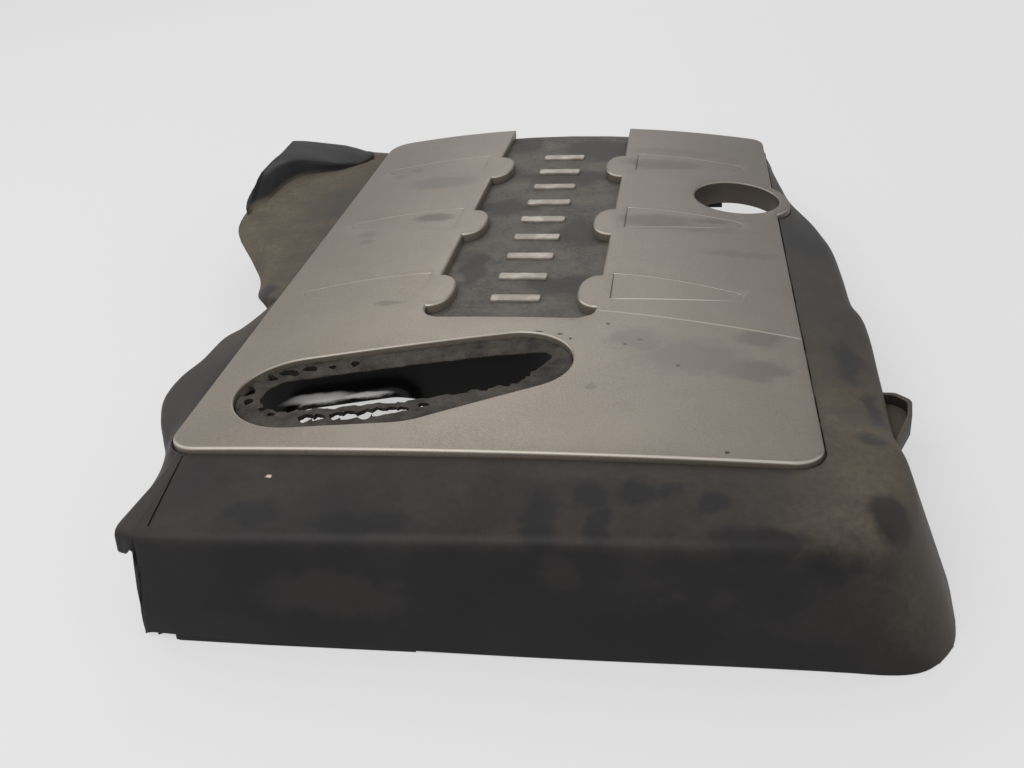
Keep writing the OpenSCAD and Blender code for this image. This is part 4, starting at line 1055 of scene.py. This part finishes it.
class COVER_OT_panel(bpy.types.Operator):
    """Models the painted trim panel with its tabs, pockets, slot and oil filler hole"""

    bl_idname = "cover.panel"
    bl_label = "Trim Panel"

    def execute(self, context):
        sizes = context.scene.cover_sizes
        panel = plate("trim_panel_skin", panel_outline(), 0, -10)
        combine(panel, plate("boss", circle(FILLER, BOSS_R, 96), 0, -10), "UNION")
        filler_wall = circle(FILLER, FILLER_R + PANEL_WALL, 96)
        combine(panel, plate("filler_wall", filler_wall, 0, -19), "UNION")
        hollow = plate("hollow", panel_outline(-PANEL_WALL), -3.8, -12)
        for wall in (slot_outline(PANEL_WALL), filler_wall, strip_outline(PANEL_WALL)):
            combine(hollow, plate("wall", wall, 0, -14), "DIFFERENCE")
        combine(panel, hollow, "DIFFERENCE")
        combine(panel, plate("strip_foot", strip_outline(2.6), -7.2, -14), "DIFFERENCE")
        combine(panel, plate("slot_foot", slot_outline(2.6), -8, -14), "DIFFERENCE")
        opening = plate("opening", strip_outline(), 5, -14)
        for i in range(3):
            for side in SIDES:
                combine(opening, plate("tab", tab_outline(i, side), 6, -15), "DIFFERENCE")
        combine(panel, opening, "DIFFERENCE")
        combine(panel, plate("slot", slot_outline(), 5, -14), "DIFFERENCE")
        combine(panel, plate("filler", circle(FILLER, FILLER_R, 96), 5, -24), "DIFFERENCE")
        for i in range(3):
            for side in SIDES:
                cut = plate("pocket", pocket_outline(i, side), 5, -1)
                for vertex in cut.data.vertices:
                    x, y, z = place_of(vertex.co)
                    if z < 0:
                        inwards, upwards = abs(x) - POCKET_X, y - TAB_START - i * TAB_PITCH - 13 - i
                        vertex.co = at(x, y, -max(0.15, 2.6 - 0.02 * inwards - 0.055 * upwards))
                combine(panel, cut, "DIFFERENCE")

        def top(middle):
            return abs(middle.z) < 0.01

        def in_slot(middle):
            return top(middle) and -160 < middle.x < 56 and 24 < middle.y < 150

        def in_filler(middle):
            return top(middle) and (middle.xy - Vector(FILLER)).length < FILLER_R + 0.5

        def in_opening(middle):
            return top(middle) and abs(middle.x) < 62 and STRIP_START - 1 < middle.y < PANEL_LEN - 0.5

        def in_pocket(middle):
            beside = POCKET_X - 1 < abs(middle.x) < POCKET_X + POCKET_LEN + 1
            along = middle.y > TAB_START and 12 < (middle.y - TAB_START) % TAB_PITCH < 57
            return top(middle) and beside and along and not in_filler(middle)

        def near_side(middle):
            return (middle.y - TAB_START) % TAB_PITCH < 17.5

        def at_edge(middle):
            inner = in_slot(middle) or in_filler(middle) or in_opening(middle) or in_pocket(middle)
            return top(middle) and not inner

        round_edges(panel, sizes.panel_edge, 6, at_edge)
        round_edges(panel, sizes.slot_edge, 6, in_slot)
        round_edges(panel, sizes.filler_edge, 5, in_filler)
        round_edges(panel, sizes.tab_edge, 3, in_opening)
        round_edges(panel, 0.8, 3, lambda middle: in_pocket(middle) and not near_side(middle))
        round_edges(panel, 1.5, 3, lambda middle: in_pocket(middle) and near_side(middle))
        open_mesh(panel)
        for x in range(-168, 204, 12):
            cut_across((x, 0, 0), (1, 0, 0))
        for y in range(20, 561, 30):
            cut_across((0, y, 0), (0, 1, 0))
        bpy.ops.mesh.select_all(action="SELECT")
        bpy.ops.mesh.remove_doubles(threshold=0.01 * MM)
        close_mesh()
        for vertex in panel.data.vertices:
            x, y, z = place_of(vertex.co)
            vertex.co = at(x, y, z + face_z(x, y))
        shade(panel, 28)
        keep(panel, silver_paint(), "silver_paint", "trim_panel")
        return {"FINISHED"}


class COVER_OT_strip(bpy.types.Operator):
    """Models the recessed strip's raised bars and dresses the strip"""

    bl_idname = "cover.strip"
    bl_label = "Centre Strip"

    def execute(self, context):
        NODES["centre_strip"].data.materials.clear()
        NODES["centre_strip"].data.materials.append(strip_plastic())
        shade(NODES["centre_strip"], 30)
        corners = [(-BAR_HALF_LEN, -BAR_HALF_W, 2), (BAR_HALF_LEN, -BAR_HALF_W, 2),
                   (BAR_HALF_LEN, BAR_HALF_W, 2), (-BAR_HALF_LEN, BAR_HALF_W, 2)]
        bars = []
        for i in range(context.scene.cover_sizes.bars):
            y = STRIP_START + BAR_START + BAR_PITCH * i
            bar = plate("bar", [(x, y + out) for x, out in rounded(corners, 5)], BAR_H, 0)
            round_edges(bar, 0.8, 3, lambda middle: middle.z > BAR_H - 0.1)
            for vertex in bar.data.vertices:
                x, out, z = place_of(vertex.co)
                vertex.co = at(x, out, z + face_z(x, out) - STRIP_DROP)
            bars.append(bar)
        bpy.ops.object.select_all(action="DESELECT")
        for bar in bars:
            bar.select_set(True)
        context.view_layer.objects.active = bars[0]
        bpy.ops.object.join()
        row = context.object
        row.name = row.data.name = "raised_bars"
        shade(row, 35)
        keep(row, bar_paint(), "bright_silver", "strip_bars")
        return {"FINISHED"}


class COVER_OT_slot(bpy.types.Operator):
    """Models the air duct under the scoop slot and its crumbling foam seal"""

    bl_idname = "cover.slot"
    bl_label = "Scoop Slot"

    def execute(self, context):
        count = len(SLOT_LINE)
        # how much each place on the line faces the near side, and how much of the far wall ends short
        nearness = [clip(0.15 - way.y, 0, 1) for _, way in SLOT_LINE]
        short = [eased((way.y - 0.1) / 0.6) * eased((-40 - point.x) / 34) * eased((point.x + 152) / 22)
                 for point, way in SLOT_LINE]
        # inset from the slot's edge and depth below the face, where the wall is deep and where it is short
        profile = [(0.9, 9.2, 0.9, 9.2), (3.2, 9.2, 3.2, 9.2), (3.2, 14, 3.2, 14), (3.2, 20, 3.3, 19),
                   (3.2, 26, 3.7, 23), (3.2, 31, 4.4, 26.6), (3.2, 36, 5.6, 29.4), (3.2, 41, 7.4, 31.3),
                   (3.2, 46, 9.2, 32.2), (1.2, 46, 9.0, 33.6), (1.2, 38, 6.0, 32.4), (1.2, 30, 3.0, 29),
                   (1.4, 15.6, 1.4, 15.6), (-7, 15.4, -7, 15.4), (-7, 13.3, -7, 13.3),
                   (0.9, 13.3, 0.9, 13.3)]
        rings = [[slot_place(k, -mix(inset, lip_inset, short[k]), mix(depth, lip_depth, short[k]))
                  for k in range(count)] for inset, depth, lip_inset, lip_depth in profile]
        duct = pulled("duct_wall", rings, closed=True)
        shade(duct, 50)
        keep(duct, gloss_plastic(), "gloss_black", "slot_duct")

        opening = hull_outline([((-122, 72), 20), ((-50, 85), 20.5), ((6, 105), 20), ((31, 123), 6.5)], 400)
        inner = []
        for k, (point, way) in enumerate(SLOT_LINE):
            start = point - way * 0.5
            gaps = [spot - start for spot, _ in opening]
            crossing = min(gaps, key=lambda gap: abs(gap.cross(way)) + 0.15 * gap.length)
            ragged = 0.7 * math.sin(0.9 * k) + 0.6 * math.sin(2.1 * k + 1) + 0.5 * math.sin(0.37 * k + 2)
            inner.append(crossing.length - ragged * (0.4 + nearness[k]))
        # part of the way in from the outer edge, and depth below the face
        profile = [(0, 8.6), (0, 3.9), (0.02, 3.7), (0.2, 3.9), (0.4, 4.3), (0.6, 4.8), (0.8, 5.4),
                   (0.95, 5.8), (1, 6.2), (1, 7.0), (0.97, 7.4), (0.5, 7.8)]
        rings = [[slot_place(k, -(0.5 + inner[k] * part), depth) for k in range(count)]
                 for part, depth in profile]
        seal = pulled("foam_seal", rings, closed=True)
        modify(seal, "SUBSURF", levels=1, render_levels=1)
        holes = [(-104, 41.5, 4.6, 5.6), (-95.5, 43, 4, 5), (-85.2, 44.6, 4.4, 5.2), (-76.5, 45.4, 6, 6.8),
                 (-67.5, 47, 6, 6.6), (-58.5, 49.8, 6, 6.6), (-51, 52, 5.6, 5.2), (-45, 54, 4, 3.6),
                 (-33.2, 58.8, 3.6, 3), (0.6, 80.4, 3.4, 3), (13.7, 87, 3.6, 3.8)]
        pits = [(-152.7, 74, 4.6, 7.6), (-148, 61.5, 2.8, 4.6), (-146, 91.5, 7.6, 4.4),
                (-131.7, 98.5, 7.6, 3.2), (-119, 103.5, 5.6, 3), (-105, 105.5, 3, 1.8), (-91, 109.5, 3, 3),
                (-136, 54, 2.6, 3), (-127.8, 47, 2.4, 3)]
        for x, y, wide, long in holes + pits:
            bpy.ops.object.select_all(action="DESELECT")
            bpy.ops.mesh.primitive_ico_sphere_add(subdivisions=2, radius=1)
            bite = context.object
            for n, vertex in enumerate(bite.data.vertices):
                rough = 1 + 0.22 * math.sin(7.3 * n + x)
                vertex.co = at(x + vertex.co.x * wide * rough, y + vertex.co.y * long * rough,
                               face_z(x, y) - 6 + vertex.co.z * 9)
            combine(seal, bite, "DIFFERENCE")
        clouds = bpy.data.textures.new("crumbs", "CLOUDS")
        clouds.noise_scale = 0.0045
        clouds.noise_depth = 2
        modify(seal, "DISPLACE", texture=clouds, strength=0.9 * MM, mid_level=0.5, texture_coords="LOCAL")
        shade(seal, 60)
        keep(seal, foam("crumbling_seal_foam", "171513", "4f4a43", 1.6), "foam", "slot_seal")
        return {"FINISHED"}


class COVER_OT_pads(bpy.types.Operator):
    """Models the two foam pads under the deck"""

    bl_idname = "cover.pads"
    bl_label = "Foam Pads"

    def execute(self, context):
        material = foam("acoustic_pad_foam", "2b2927", "4a4642", 2.2)
        clouds = bpy.data.textures.new("lumps", "CLOUDS")
        clouds.noise_scale = 0.02
        for side in ("left", "right"):
            pad = copy_of("foam_pad_" + side, "acoustic_pad_" + side)
            pad.data.remesh_voxel_size = 3 * MM
            select_only(pad)
            bpy.ops.object.voxel_remesh()
            modify(pad, "SMOOTH", factor=0.5, iterations=3)
            modify(pad, "DISPLACE", texture=clouds, strength=0.7 * MM, mid_level=1.0, texture_coords="LOCAL")
            if side == "right":
                combine(pad, plate("neck_room", circle(FILLER, BOSS_R + 9, 96), 120, -10), "DIFFERENCE")
            shade(pad, 60)
            keep(pad, material, "foam", "foam_pad_" + side)
        return {"FINISHED"}


class COVER_OT_clips(bpy.types.Operator):
    """Dresses the rubber grommets and the steel push nuts"""

    bl_idname = "cover.clips"
    bl_label = "Grommets and Clips"

    def execute(self, context):
        black, steel = rubber(), spring_steel()
        for name, piece in NODES.items():
            if name.startswith("grommet") or name.endswith("push_nuts"):
                piece.data.materials.clear()
                piece.data.materials.append(black if name.startswith("grommet") else steel)
                shade(piece, 35)
        return {"FINISHED"}


OPERATORS = (COVER_OT_stage, COVER_OT_base, COVER_OT_panel, COVER_OT_strip, COVER_OT_slot, COVER_OT_pads,
             COVER_OT_clips)


class COVER_PT_panel(bpy.types.Panel):
    """Lists the cover's sizes and pieces"""

    bl_idname = "COVER_PT_panel"
    bl_label = "Engine Top Cover"
    bl_space_type = "VIEW_3D"
    bl_region_type = "UI"
    bl_category = "Cover"

    def draw(self, context):
        for group in (context.scene.cover_sizes, context.scene.cover_colours):
            for name in group.__annotations__:
                self.layout.prop(group, name)
        for operator in OPERATORS:
            self.layout.operator(operator.bl_idname)


CLASSES = (CoverSizes, CoverColours, *OPERATORS, COVER_PT_panel)


def register():
    """Registers the classes and the settings."""
    for item in CLASSES:
        bpy.utils.register_class(item)
    bpy.types.Scene.cover_sizes = PointerProperty(type=CoverSizes)
    bpy.types.Scene.cover_colours = PointerProperty(type=CoverColours)


def unregister():
    """Takes the classes and the settings away again."""
    del bpy.types.Scene.cover_sizes
    del bpy.types.Scene.cover_colours
    for item in reversed(CLASSES):
        bpy.utils.unregister_class(item)


def main():
    """Builds everything."""
    register()
    for operator in OPERATORS:
        group, name = operator.bl_idname.split(".")
        getattr(getattr(bpy.ops, group), name)()


if __name__ == "__main__":
    main()
